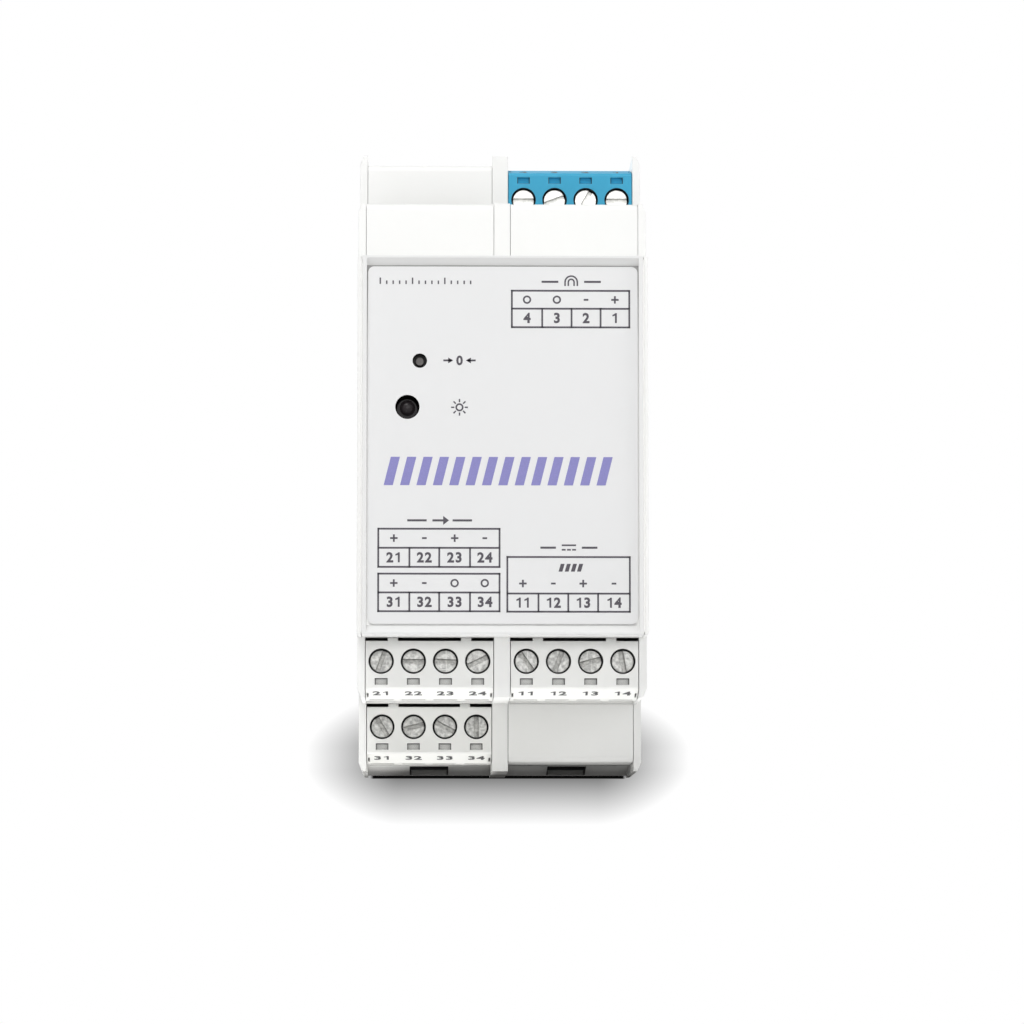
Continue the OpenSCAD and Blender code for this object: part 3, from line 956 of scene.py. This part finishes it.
class Finishes:
    """All the finishes of the module, by the part that wears them."""

    BUTTON_HOLE = 1.125
    LIGHT_HOLE = 1.875
    BUTTON_TIP = 0.1

    def __init__(self) -> None:
        """Builds every material."""
        effects = Effects()
        table = {**self._shells(), **self._plastics(), **self._others()}
        self.made = {part: finish.build(effects) for part, finish in table.items()}

    def _shells(self) -> dict[str, Plastic]:
        """Lists the plastics that are shaded by place, with places read from the solids.

        Returns:
            The finishes by part.
        """
        button, light = middle_of("zero_button"), middle_of("status_led")
        cover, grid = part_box("front_cover")[1], Grid.read()
        blanks = [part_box(f"blank_cover_top_left_{level}") for level in ("near", "far")]
        return {
            "housing": HousingPlastic(
                "housing_plastic", linear(244, 244, 242), 0.5, depth=0.4, bright_edge=0.4,
                column=middle_of("plug_shell_11")[0], cover_half=(cover[0] / MM, cover[2] / MM),
                steps=tuple((low[1] / MM, high[2] / MM) for low, high in blanks)),
            "cover": CoverPlastic(
                "cover_plastic", linear(229, 229, 228), 0.5, depth=0.0, bright_edge=0.5,
                seam_y=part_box("label_plate")[1][1] / MM,
                holes=((button[0], button[2], self.BUTTON_HOLE),
                       (light[0], light[2], self.LIGHT_HOLE))),
            "button": ButtonPlastic(
                "button_plastic", linear(124, 120, 118), 0.4, dust=0.0,
                tip_y=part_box("zero_button")[0][1] / MM + self.BUTTON_TIP),
            "plug": PlugPlastic("plug_plastic", linear(241, 241, 238), 0.4, grain=0.3, dust=0.1,
                                bright_edge=0.5, grid=grid),
            "blue": PlugPlastic("sensor_plastic", linear(52, 162, 200), 0.5, grain=0.3, depth=0.2,
                                bright_edge=0.1, grid=grid, slot_colour=(0.006, 0.4, 0.72)),
        }

    def _plastics(self) -> dict[str, Plastic]:
        """Lists the plain plastics.

        Returns:
            The finishes by part.
        """
        return {
            "blank": Plastic("blank_plastic", linear(244, 244, 242), 0.42, grain=0.3,
                             bright_edge=0.4),
            "label": Plastic("label_film", linear(228, 228, 228), 0.55, grain=1.0, ripple=0.1,
                             relief=0.000003, radius=0.00008, dust=0.0),
            "board": Plastic("board_laminate", linear(46, 104, 62), 0.35, dust=0.0),
            "black": Plastic("black_plastic", linear(44, 44, 46), 0.4, dust=0.0),
            "catch": Plastic("catch_plastic", linear(70, 72, 74), 0.45, dust=0.1),
        }

    def _others(self) -> dict[str, Metal | Ink | Lens]:
        """Lists the metals, the inks and the lens.

        Returns:
            The finishes by part.
        """
        return {
            "screw": Metal("screw_zinc", linear(182, 182, 179), 0.45, scratches=0.8, mottle=0.3),
            # Painted light: a brighter copy of the zinc screw finish, for the screws of the upper
            # plug.
            "screw_lit_copy": Metal("screw_zinc_lit", linear(232, 232, 229), 0.4, mottle=0.15),
            "clamp": Metal("clamp_nickel", linear(205, 203, 196), 0.3),
            "contact": Metal("contact_tin", linear(200, 190, 160), 0.32),
            "spring": Metal("spring_wire", linear(190, 190, 186), 0.25),
            "ink": Ink("print_grey", linear(72, 68, 76)),
            "mark": Ink("print_violet", linear(130, 127, 184)),
            "digit": Ink("strip_black", linear(58, 58, 60)),
            "lens": Lens("status_lens", linear(36, 32, 34)),
        }

    def dress(self, piece: bpy.types.Object, part: str) -> None:
        """Puts one finish on a whole object.

        Args:
            piece: object to dress.
            part: name of the finish.
        """
        if not piece.material_slots:
            piece.data.materials.append(self.made[part])
        for place in piece.material_slots:
            place.link = "OBJECT"
            place.material = self.made[part]


# ---------------------------------------------------------------- meshes


def new_object(name: str, data: bpy.types.ID) -> bpy.types.Object:
    """Adds an object to the scene.

    Args:
        name: name of the object.
        data: its mesh, curve, lamp or camera.

    Returns:
        The object.
    """
    piece = bpy.data.objects.new(name, data)
    bpy.context.scene.collection.objects.link(piece)
    return piece


def new_sheet(name: str, across: Vector, along: Vector) -> bpy.types.Object:
    """Adds a flat sheet round the origin.

    Args:
        name: name of the object.
        across: half its width, as a vector in metres.
        along: half its other side.

    Returns:
        The object.
    """
    mesh = bpy.data.meshes.new(name)
    corners = (-across - along, across - along, across + along, along - across)
    mesh.from_pydata(corners, [], [(0, 1, 2, 3)])
    return new_object(name, mesh)


@dataclass
class Printer:
    """Prints thin flat shapes on a face and gathers them in one mesh.

    The face has its own frame: across, up and out of the face. Shapes are in
    millimetres, and sizes of digits are shares of their height.
    """

    thickness: float = 0.02 * MM
    arc_step: int = 12
    spacing: float = 0.8
    font_size: float = 1.37
    font_steps: int = 3
    fattening: float = 0.05
    upright: tuple[Point, ...] = ((0.0, -0.5), (0.19, -0.5), (0.19, 0.5), (0.0, 0.5))
    flag: tuple[Point, ...] = ((-0.25, 0.17), (0.0, 0.24), (0.0, 0.44), (-0.25, 0.32))
    verts: list[Vector] = field(default_factory=list)
    faces: list[list[int]] = field(default_factory=list)

    def outline(self, points: list[Point], place: Matrix) -> None:
        """Prints a filled outline with few corners.

        Args:
            points: convex outline, anticlockwise.
            place: matrix from the face to the module.
        """
        first = len(self.verts)
        count = len(points)
        for height in (0.0, self.thickness):
            self.verts += [place @ Vector((x * MM, y * MM, height)) for x, y in points]
        self.faces.append([first + count + i for i in range(count)])
        for i in range(count):
            j = (i + 1) % count
            self.faces.append([first + i, first + j, first + count + j, first + count + i])

    def bar(self, low: Point, high: Point, place: Matrix, lean: float = 0.0) -> None:
        """Prints a straight or leaning bar.

        Args:
            low: lower left corner.
            high: upper right corner.
            place: matrix from the face to the module.
            lean: how far the top is shifted across.
        """
        (x0, y0), (x1, y1) = low, high
        self.outline([(x0, y0), (x1, y0), (x1 + lean, y1), (x0 + lean, y1)], place)

    def arc(self, radius: float, width: float, degrees: int, place: Matrix) -> None:
        """Prints a ring, or the part of it that starts at the right and goes up.

        Args:
            radius: radius of its middle line.
            width: width of the line.
            degrees: how far it goes round.
            place: matrix from the middle of the ring to the module.
        """
        inner, outer = radius - width / 2, radius + width / 2
        for angle in range(0, degrees, self.arc_step):
            a, b = math.radians(angle), math.radians(angle + self.arc_step)
            corners = [(outer, a), (outer, b), (inner, b), (inner, a)]
            self.outline([(r * math.cos(t), r * math.sin(t)) for r, t in corners], place)

    def digits(self, text: str, height: float, place: Matrix, stretch: float = 1.0) -> None:
        """Prints a plain number.

        Args:
            text: its digits.
            height: height of the digits.
            place: matrix from the middle of the number to the module.
            stretch: width against height.
        """
        wide = Matrix.Diagonal((stretch, 1.0, 1.0, 1.0))
        for i, digit in enumerate(text):
            shift = (i - (len(text) - 1) / 2) * self.spacing * height * stretch
            at = moved(place, shift, 0) @ wide
            if digit == "1":
                self._one(height, at)
            else:
                self._glyph(digit, height, at)

    def _one(self, height: float, at: Matrix) -> None:
        """Prints the digit 1 as an upright with a flag."""
        for shape in (self.upright, self.flag):
            self.outline([(x * height, y * height) for x, y in shape], at)

    def _glyph(self, digit: str, height: float, at: Matrix) -> None:
        """Prints one digit from the built-in font.

        Args:
            digit: which digit.
            height: its height.
            at: matrix from the middle of the digit to the module.
        """
        curve = bpy.data.curves.new("digit", "FONT")
        curve.body = digit
        curve.size = self.font_size * height * MM
        curve.offset = self.fattening * height * MM
        curve.resolution_u = self.font_steps
        piece = new_object("digit", curve)
        depsgraph = bpy.context.evaluated_depsgraph_get()
        mesh = bpy.data.meshes.new_from_object(piece.evaluated_get(depsgraph))
        corners = [v.co for v in mesh.vertices]
        middle = [(min(c[k] for c in corners) + max(c[k] for c in corners)) / 2 for k in (0, 1)]
        first = len(self.verts)
        shift = Vector((-middle[0], -middle[1], self.thickness))
        self.verts += [at @ (corner + shift) for corner in corners]
        self.faces += [[first + i for i in face.vertices] for face in mesh.polygons]
        bpy.data.objects.remove(piece)
        bpy.data.curves.remove(curve)
        bpy.data.meshes.remove(mesh)

    def finish(self, name: str) -> bpy.types.Object:
        """Turns what was printed into one object.

        Args:
            name: name of the object.

        Returns:
            The object.
        """
        mesh = bpy.data.meshes.new(name)
        mesh.from_pydata([v[:] for v in self.verts], [], self.faces)
        mesh.update()
        return new_object(name, mesh)


# ---------------------------------------------------------------- label


@dataclass(frozen=True)
class PinTable:
    """One printed table of terminal numbers on the label."""

    left: float
    right: float
    top: float
    middle: float
    bottom: float
    numbers: tuple[str, ...]
    signs: str
    sign_z: float
    dividers: tuple[float, ...]


@dataclass(frozen=True)
class Heading:
    """Two dashes over a table, with a gap between them for a pictogram."""

    x: float
    z: float
    dash: float
    gap: float = 2.0
    thin: float = 0.16


@dataclass
class Label:
    """The label plate with its printed tables, signs and mark, in millimetres."""

    line: float = 0.28
    digit_height: float = 1.55
    sign_size: float = 1.15
    sign_thin: float = 0.14
    minus_share: float = 0.62
    ring_share: float = 0.9
    ring_line: float = 0.26
    tables: tuple[PinTable, ...] = (
        PinTable(1.4, 19.6, 24.0, 21.2, 18.3, ("4", "3", "2", "1"), "oo-+", 22.6,
                 (6.1, 10.65, 15.15)),
        PinTable(-19.2, -0.5, -13.05, -16.0, -18.95, ("21", "22", "23", "24"), "+-+-", -14.5,
                 (-14.4, -9.8, -5.05)),
        PinTable(-19.2, -0.5, -20.0, -22.9, -25.8, ("31", "32", "33", "34"), "+-oo", -21.45,
                 (-14.4, -9.8, -5.05)),
        PinTable(0.7, 19.6, -17.4, -23.05, -25.85, ("11", "12", "13", "14"), "+-+-", -21.5,
                 (5.5, 10.1, 14.7)),
    )
    sensor: Heading = Heading(10.6, 25.4, 2.6)
    output: Heading = Heading(-9.75, -11.75, 3.0)
    supply: Heading = Heading(10.2, -15.95, 2.4)
    zero_sign: Point = (-6.7, 13.1)
    zero_height: float = 1.45
    light_sign: Point = (-6.7, 5.8)
    ticks: int = 15
    tick_at: Point = (-19.1, 25.0)
    tick_pitch: float = 1.0
    tick_width: float = 0.22
    tick_heights: Point = (0.55, 1.0)
    tall_every: int = 5
    stripes: int = 14
    stripes_x: Point = (-18.4, 17.0)
    stripes_z: Point = (-6.3, -1.9)
    stripe_share: float = 0.56
    stripe_lean: float = 1.1
    place: Matrix = field(init=False)

    def __post_init__(self) -> None:
        """Finds the matrix from the face of the label plate to the module."""
        low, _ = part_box("label_plate")
        self.place = Matrix.Translation((0, low[1], 0)) @ Matrix.Rotation(math.radians(90), 4, "X")

    def build(self, finishes: Finishes) -> None:
        """Prints the label and dresses its plate.

        Args:
            finishes: all finishes.
        """
        finishes.dress(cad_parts["label_plate"], "label")
        ink = Printer()
        for table in self.tables:
            self._table(ink, table)
        self._headings(ink)
        self._button_signs(ink)
        self._ticks(ink)
        self._ride(ink.finish("label_print"), finishes, "ink")
        mark = Printer()
        self._mark(mark)
        self._ride(mark.finish("label_mark"), finishes, "mark")

    def _ride(self, piece: bpy.types.Object, finishes: Finishes, part: str) -> None:
        """Dresses a print and fixes it to the module.

        Args:
            piece: the print.
            finishes: all finishes.
            part: name of its finish.
        """
        finishes.dress(piece, part)
        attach(piece, "root")

    def _frame_line(self, ink: Printer, low: Point, high: Point) -> None:
        """Prints a level or upright line from its left or lower end to its other end."""
        half = self.line / 2
        ink.bar((low[0] - half, low[1] - half), (high[0] + half, high[1] + half), self.place)

    def _table(self, ink: Printer, table: PinTable) -> None:
        """Prints one table.

        Args:
            ink: printer to use.
            table: the table.
        """
        for z in (table.top, table.middle, table.bottom):
            self._frame_line(ink, (table.left, z), (table.right, z))
        for x in (table.left, table.right):
            self._frame_line(ink, (x, table.bottom), (x, table.top))
        for x in table.dividers:
            self._frame_line(ink, (x, table.bottom), (x, table.middle))
        edges = [table.left, *table.dividers, table.right]
        number_z = (table.middle + table.bottom) / 2
        for i, number in enumerate(table.numbers):
            x = (edges[i] + edges[i + 1]) / 2
            ink.digits(number, self.digit_height, moved(self.place, x, number_z))
            self._sign(ink, Sign(table.signs[i]), moved(self.place, x, table.sign_z))

    def _sign(self, ink: Printer, sign: Sign, at: Matrix) -> None:
        """Prints a plus, a minus or a small ring.

        Args:
            ink: printer to use.
            sign: which of them.
            at: matrix from its middle to the module.
        """
        half, thin = self.sign_size / 2, self.sign_thin
        if sign is Sign.RING:
            ink.arc(half * self.ring_share, self.ring_line, 360, at)
            return
        reach = half if sign is Sign.PLUS else half * self.minus_share
        ink.bar((-reach, -thin), (reach, thin), at)
        if sign is Sign.PLUS:
            ink.bar((-thin, -half), (thin, -thin), at)
            ink.bar((-thin, thin), (thin, half), at)

    def _dashes(self, ink: Printer, heading: Heading) -> Matrix:
        """Prints the dashes of a heading.

        Args:
            ink: printer to use.
            heading: the heading.

        Returns:
            The matrix from its middle to the module.
        """
        at = moved(self.place, heading.x, heading.z)
        far = heading.gap + heading.dash
        for left, right in ((-far, -heading.gap), (heading.gap, far)):
            ink.bar((left, -heading.thin), (right, heading.thin), at)
        return at

    def _headings(self, ink: Printer) -> None:
        """Prints a plain pictogram over each table: a loop, an arrow and a supply.

        Args:
            ink: printer to use.
        """
        at = moved(self._dashes(ink, self.sensor), 0, -0.05)
        for radius in (0.95, 0.45):
            ink.arc(radius, 0.24, 180, at)
            for x in (-radius, radius):
                ink.bar((x - 0.12, -0.6), (x + 0.12, 0), at)
        at = self._dashes(ink, self.output)
        ink.bar((-1.1, -0.16), (0.55, 0.16), at)
        ink.outline([(0.55, -0.7), (1.45, 0), (0.55, 0.7)], at)
        at = self._dashes(ink, self.supply)
        ink.bar((-1.1, 0.25), (1.1, 0.5), at)
        for i in range(3):
            ink.bar((0.8 * i - 1.1, -0.45), (0.8 * i - 0.5, -0.2), at)
        for i in range(4):
            ink.bar((0.95 * i - 1.6, -3.7), (0.95 * i - 1.0, -2.5), at, lean=0.35)

    def _button_signs(self, ink: Printer) -> None:
        """Prints a zero between two arrows, and a small sun for the status light.

        Args:
            ink: printer to use.
        """
        at = moved(self.place, *self.zero_sign)
        ink.digits("0", self.zero_height, at)
        for degrees in (0, 180):
            arrow = turned(at, degrees)
            ink.bar((1.2, -0.14), (2.5, 0.14), arrow)
            ink.outline([(1.0, 0), (1.75, -0.45), (1.75, 0.45)], arrow)
        at = moved(self.place, *self.light_sign)
        ink.arc(0.5, 0.26, 360, at)
        for degrees in range(0, 360, 45):
            ink.bar((0.8, -0.11), (1.3, 0.11), turned(at, degrees))

    def _ticks(self, ink: Printer) -> None:
        """Prints a short row of index ticks in the upper corner.

        Args:
            ink: printer to use.
        """
        x, z = self.tick_at
        short, tall = self.tick_heights
        for i in range(self.ticks):
            top = tall if i % self.tall_every == 0 else short
            ink.bar((0, 0), (self.tick_width, top), moved(self.place, x + i * self.tick_pitch, z))

    def _mark(self, ink: Printer) -> None:
        """Prints the band of leaning stripes across the middle.

        Args:
            ink: printer to use.
        """
        (left, right), (low, high) = self.stripes_x, self.stripes_z
        step = (right - left) / self.stripes
        for i in range(self.stripes):
            x = left + i * step
            ink.bar((x, low), (x + step * self.stripe_share, high), self.place,
                    lean=self.stripe_lean)


# ---------------------------------------------------------------- terminals


@dataclass(frozen=True)
class Plug:
    """One plug-in terminal block and its pieces."""

    first: int
    end: End
    finish: str
    screw: str = "screw"
    poles: int = 4

    @property
    def body(self) -> str:
        """Name of the body that the plug moves with."""
        return f"plug_{self.first}"

    @property
    def numbers(self) -> range:
        """Numbers of its terminals."""
        return range(self.first, self.first + self.poles)


@dataclass
class Terminals:
    """The four plugs with their screws, clamps, contacts and numbers, in millimetres."""

    digit_height: float = 2.05
    digit_width: float = 0.88
    strip_depth: float = 5.4
    strip_drop: float = 1.3
    print_at: float = 0.44
    plugs: tuple[Plug, ...] = (
        Plug(11, End.BOTTOM, "plug"),
        Plug(21, End.BOTTOM, "plug"),
        Plug(31, End.BOTTOM, "plug"),
        # The upper plug's screws wear the brighter copy that paints light on them.
        Plug(1, End.TOP, "blue", "screw_lit_copy"),
    )

    def build(self, finishes: Finishes) -> None:
        """Dresses every plug and prints its strip.

        Args:
            finishes: all finishes.
        """
        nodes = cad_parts
        for plug in self.plugs:
            finishes.dress(nodes[f"plug_shell_{plug.first}"], plug.finish)
            finishes.dress(nodes[f"header_{plug.first}"], plug.finish)
            finishes.dress(nodes[f"plug_contacts_{plug.first}"], "contact")
            for number in plug.numbers:
                finishes.dress(nodes[f"screw_{number}"], plug.screw)
                finishes.dress(nodes[f"clamp_{number}"], "clamp")
            self._strip(plug, finishes)
            log.info("plug %d dressed", plug.first)

    def _strip(self, plug: Plug, finishes: Finishes) -> None:
        """Prints the numbers on the sloping strip of a plug.

        Args:
            plug: the plug.
            finishes: all finishes.
        """
        low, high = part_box(f"plug_shell_{plug.first}")
        outer = high[2] if plug.end is End.TOP else low[2]
        sign = plug.end.value
        y = low[1] + self.print_at * self.strip_depth * MM
        z = outer - sign * (1 - self.print_at) * self.strip_drop * MM
        right, slope = math.radians(90), math.atan2(self.strip_drop, self.strip_depth)
        tilt = Matrix.Rotation(right - sign * (right - slope), 4, "X")
        ink = Printer()
        for number in plug.numbers:
            x = middle_of(f"screw_{number}")[0] * MM
            ink.digits(str(number), self.digit_height, Matrix.Translation((x, y, z)) @ tilt,
                       stretch=self.digit_width)
        piece = ink.finish(f"strip_numbers_{plug.first}")
        finishes.dress(piece, "digit")
        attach(piece, plug.body)


# ---------------------------------------------------------------- housing


@dataclass
class Housing:
    """The moulded housing, its covers and what is inside it, by finish."""

    parts: dict[str, tuple[str, ...]] = field(default_factory=lambda: {
        "housing": ("base_housing",),
        "cover": ("front_cover",),
        "blank": ("blank_cover_top_left_near", "blank_cover_top_left_far",
                  "blank_cover_top_right_near", "blank_cover_bottom_right_far"),
        "board": ("front_board", "main_board", "power_board"),
        "black": ("zero_switch",),
        "button": ("zero_button",),
        "lens": ("status_led",),
        "contact": ("header_pins",),
        "catch": ("rail_catch",),
        "spring": ("catch_spring",),
    })

    def build(self, finishes: Finishes) -> None:
        """Dresses the solids.

        Args:
            finishes: all finishes.
        """
        for part, nodes in self.parts.items():
            for node in nodes:
                finishes.dress(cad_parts[node], part)


# ---------------------------------------------------------------- studio


def hang(name: str, data: bpy.types.ID, at: Place, way: Vector) -> bpy.types.Object:
    """Puts a lamp or a camera in the scene.

    Args:
        name: name of the object.
        data: the lamp's or camera's own data.
        at: where it hangs, in metres.
        way: which way it looks.

    Returns:
        The object.
    """
    thing = new_object(name, data)
    thing.location = at
    thing.rotation_mode = "QUATERNION"
    thing.rotation_quaternion = way.to_track_quat("-Z", "Y")
    return thing


@dataclass(frozen=True)
class Lamp:
    """One soft square lamp, in metres and watts."""

    name: str
    at: Place
    size: float
    power: float
    aim: Place = (0.0, -0.06, 0.0)

    def build(self) -> None:
        """Hangs the lamp."""
        data = bpy.data.lights.new(self.name, "AREA")
        data.shape = "SQUARE"
        data.size = self.size
        data.energy = self.power
        hang(self.name, data, self.at, Vector(self.aim) - Vector(self.at))


@dataclass(frozen=True)
class Shade:
    """A sheet behind the lower end with a painted soft shadow on it.

    Sizes are in millimetres. It is seen from the front only.
    """

    at: Place = (1.03, 8.0, -44.3)
    core: Point = (17.55, 1.8)
    reach: Point = (16.2, 9.9)
    roundness: float = 1.57
    depth: float = 0.8
    fade: float = 0.54
    display: float = 2.2
    line_half: Point = (22.9, 0.55)
    line_z: float = -3.15
    line_ends: Point = (-0.8, 0.5)
    line_depth: float = 0.997
    edge_on: Point = (0.03, 0.1)

    def build(self) -> None:
        """Hangs the sheet."""
        half_x, half_z = (core + reach for core, reach in zip(self.core, self.reach))
        sheet = new_sheet("shade", Vector((half_x * MM, 0, 0)), Vector((0, 0, half_z * MM)))
        sheet.location = Vector(self.at) * MM
        material, w = bare_material("shade_sheet")
        # Painted shadow: a black sheet, seen by the camera only, faded out by the mask.
        dark = w.node("ShaderNodeBsdfDiffuse")
        w.feed(dark.inputs["Color"], BLACK)
        front = w.minus(1.0, w.node("ShaderNodeNewGeometry").outputs["Backfacing"])
        facing = w.spread(w.node("ShaderNodeLayerWeight").outputs["Facing"], *self.edge_on,
                          1.0, 0.0)
        camera = w.node("ShaderNodeLightPath").outputs["Is Camera Ray"]
        w.blend(w.times(self._mask(w), front, camera, facing),
                w.node("ShaderNodeBsdfTransparent"), dark)
        sheet.data.materials.append(material)
        sheet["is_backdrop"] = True

    def _mask(self, w: Wiring) -> Socket:
        """Works out how dark the shadow is.

        Args:
            w: wiring of the sheet's material.

        Returns:
            The socket with the darkness, in linear light.
        """
        x, _, z = w.position()
        shares = []
        for part, core, reach in zip((x, z), self.core, self.reach):
            past = w.math("MAXIMUM", w.minus(w.off(part), core), 0.0)
            shares.append(w.math("POWER", w.math("DIVIDE", past, reach), self.roundness))
        far = w.math("POWER", w.math("ADD", *shares), self.fade / self.roundness)
        shown = w.spread(far, 0.0, 1.0, 1.0 - self.depth, 1.0)
        # Painted shadow line: a thin near-black band under the lower end.
        half_x, half_z = self.line_half
        start, stop = (half_x + end for end in self.line_ends)
        line = w.times(
            w.spread(w.off(z, self.line_z), half_z * 0.6, half_z * 1.2, self.line_depth, 0.0),
            w.spread(w.off(x), start, stop, 1.0, 0.0))
        return w.math("MAXIMUM", w.minus(1.0, w.math("POWER", shown, self.display)), line)


@dataclass(frozen=True)
class Floor:
    """A pale floor that can be looked through from below and fades out far away.

    Sizes are in millimetres.
    """

    half: float = 3000.0
    drop: float = 0.02
    grey: float = 0.93
    fade: Point = (120.0, 420.0)
    dark_at: Point = (2.0, -47.0)
    dark_half: Point = (31.0, 19.0)
    dark_rim: Point = (0.6, 1.1)
    dark_corner: Point = (-1.8, -86.0)
    corner_soft: float = 1.5
    corner_light: float = 0.34
    least_light: float = 0.12

    def build(self) -> None:
        """Lays the floor under the module."""
        low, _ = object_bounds()
        half = self.half * MM
        floor = new_sheet("floor", Vector((half, 0, 0)), Vector((0, half, 0)))
        floor.location = (0, 0, low[2] - self.drop * MM)
        material, w = bare_material("floor_paper")
        paper = w.node("ShaderNodeBsdfDiffuse")
        w.feed(paper.inputs["Color"], (self.grey, self.grey, self.grey))
        path = w.node("ShaderNodeLightPath").outputs
        lit = w.times(self._open(w), path["Is Shadow Ray"])
        through = w.math("MAXIMUM", w.node("ShaderNodeNewGeometry").outputs["Backfacing"], lit)
        x, y, _ = w.position()
        faded = w.times(w.spread(w.length(x, y), *self.fade, 0.0, 1.0), path["Is Camera Ray"])
        w.blend(w.math("MAXIMUM", through, faded), paper, w.node("ShaderNodeBsdfTransparent"))
        floor.data.materials.append(material)
        floor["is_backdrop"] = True

    def _open(self, w: Wiring) -> Socket:
        """Lets the low lamp shine through the floor, except close under the module.

        Args:
            w: wiring of the floor's material.

        Returns:
            A socket that is 1 where light comes through.
        """
        x, y, _ = w.position()
        shares = [w.math("DIVIDE", w.minus(part, middle), half) for part, middle, half
                  in zip((x, y), self.dark_at, self.dark_half)]
        past = [w.spread(part, edge, edge + self.corner_soft, 1.0, self.corner_light)
                for part, edge in zip((x, y), self.dark_corner)]
        rim = w.spread(w.length(*shares), *self.dark_rim, self.least_light, 1.0)
        return w.math("MAXIMUM", w.times(rim, w.math("MAXIMUM", *past)), self.least_light)


@dataclass(frozen=True)
class Studio:
    """Floor, world, lamps and camera. The camera's place is in millimetres."""

    lens: float = 170.0
    sensor: float = 36.0
    eye: Place = (-12.19, -848.68, -76.06)
    climb: float = 5.044
    turn: float = 1.049
    sky: Colour = (0.98, 0.99, 1.0)
    sky_strength: float = 0.25
    lamps: tuple[Lamp, ...] = (
        Lamp("key", (-0.17, -0.48, 0.54), 0.4, 2.5, (0.0, -0.07, 0.04)),
        Lamp("front", (0.1, -1.3, 0.3), 0.9, 3.3),
        Lamp("side", (0.9, -0.3, 0.35), 0.6, 3.6),
        Lamp("back", (-0.6, 0.95, 0.4), 0.7, 6.0),
        Lamp("low", (0.0, -0.075, -0.125), 0.08, 0.055, (0.0, -0.08, -0.045)),
    )

    def build(self) -> None:
        """Makes the whole studio."""
        scene = bpy.context.scene
        scene.view_settings.view_transform = "Standard"
        self._world(scene)
        for thing in (Floor(), Shade(), *self.lamps):
            thing.build()
        self._camera(scene)

    def _world(self, scene: bpy.types.Scene) -> None:
        """Makes a world that looks white and lights softly.

        Args:
            scene: the scene.
        """
        scene.world = bpy.data.worlds.new("studio")
        scene.world.use_nodes = True
        scene.world.node_tree.nodes.clear()
        w = Wiring(scene.world.node_tree)
        soft, white = w.node("ShaderNodeBackground"), w.node("ShaderNodeBackground")
        w.feed(soft.inputs["Color"], self.sky)
        w.feed(soft.inputs["Strength"], self.sky_strength)
        w.feed(white.inputs["Color"], WHITE)
        path = w.node("ShaderNodeLightPath").outputs
        seen = w.math("MAXIMUM", path["Is Camera Ray"], path["Is Glossy Ray"])
        seen = w.math("MAXIMUM", seen, path["Is Transmission Ray"])
        w.blend(seen, soft, white, "ShaderNodeOutputWorld")

    def _camera(self, scene: bpy.types.Scene) -> None:
        """Places the camera.

        Args:
            scene: the scene.
        """
        data = bpy.data.cameras.new("camera")
        data.lens = self.lens
        data.sensor_width = self.sensor
        climb, turn = math.radians(self.climb), math.radians(self.turn)
        way = Vector((math.sin(turn) * math.cos(climb), math.cos(turn) * math.cos(climb),
                      math.sin(climb)))
        scene.camera = hang("camera", data, tuple(Vector(self.eye) * MM), way)


def main() -> None:
    """Dresses the module piece by piece."""
    logging.basicConfig(level=logging.INFO, format="%(name)s: %(message)s")
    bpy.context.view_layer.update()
    Studio().build()
    finishes = Finishes()
    for part in (Housing(), Label(), Terminals()):
        part.build(finishes)
        log.info("%s done", type(part).__name__)


if __name__ == "__main__":
    main()
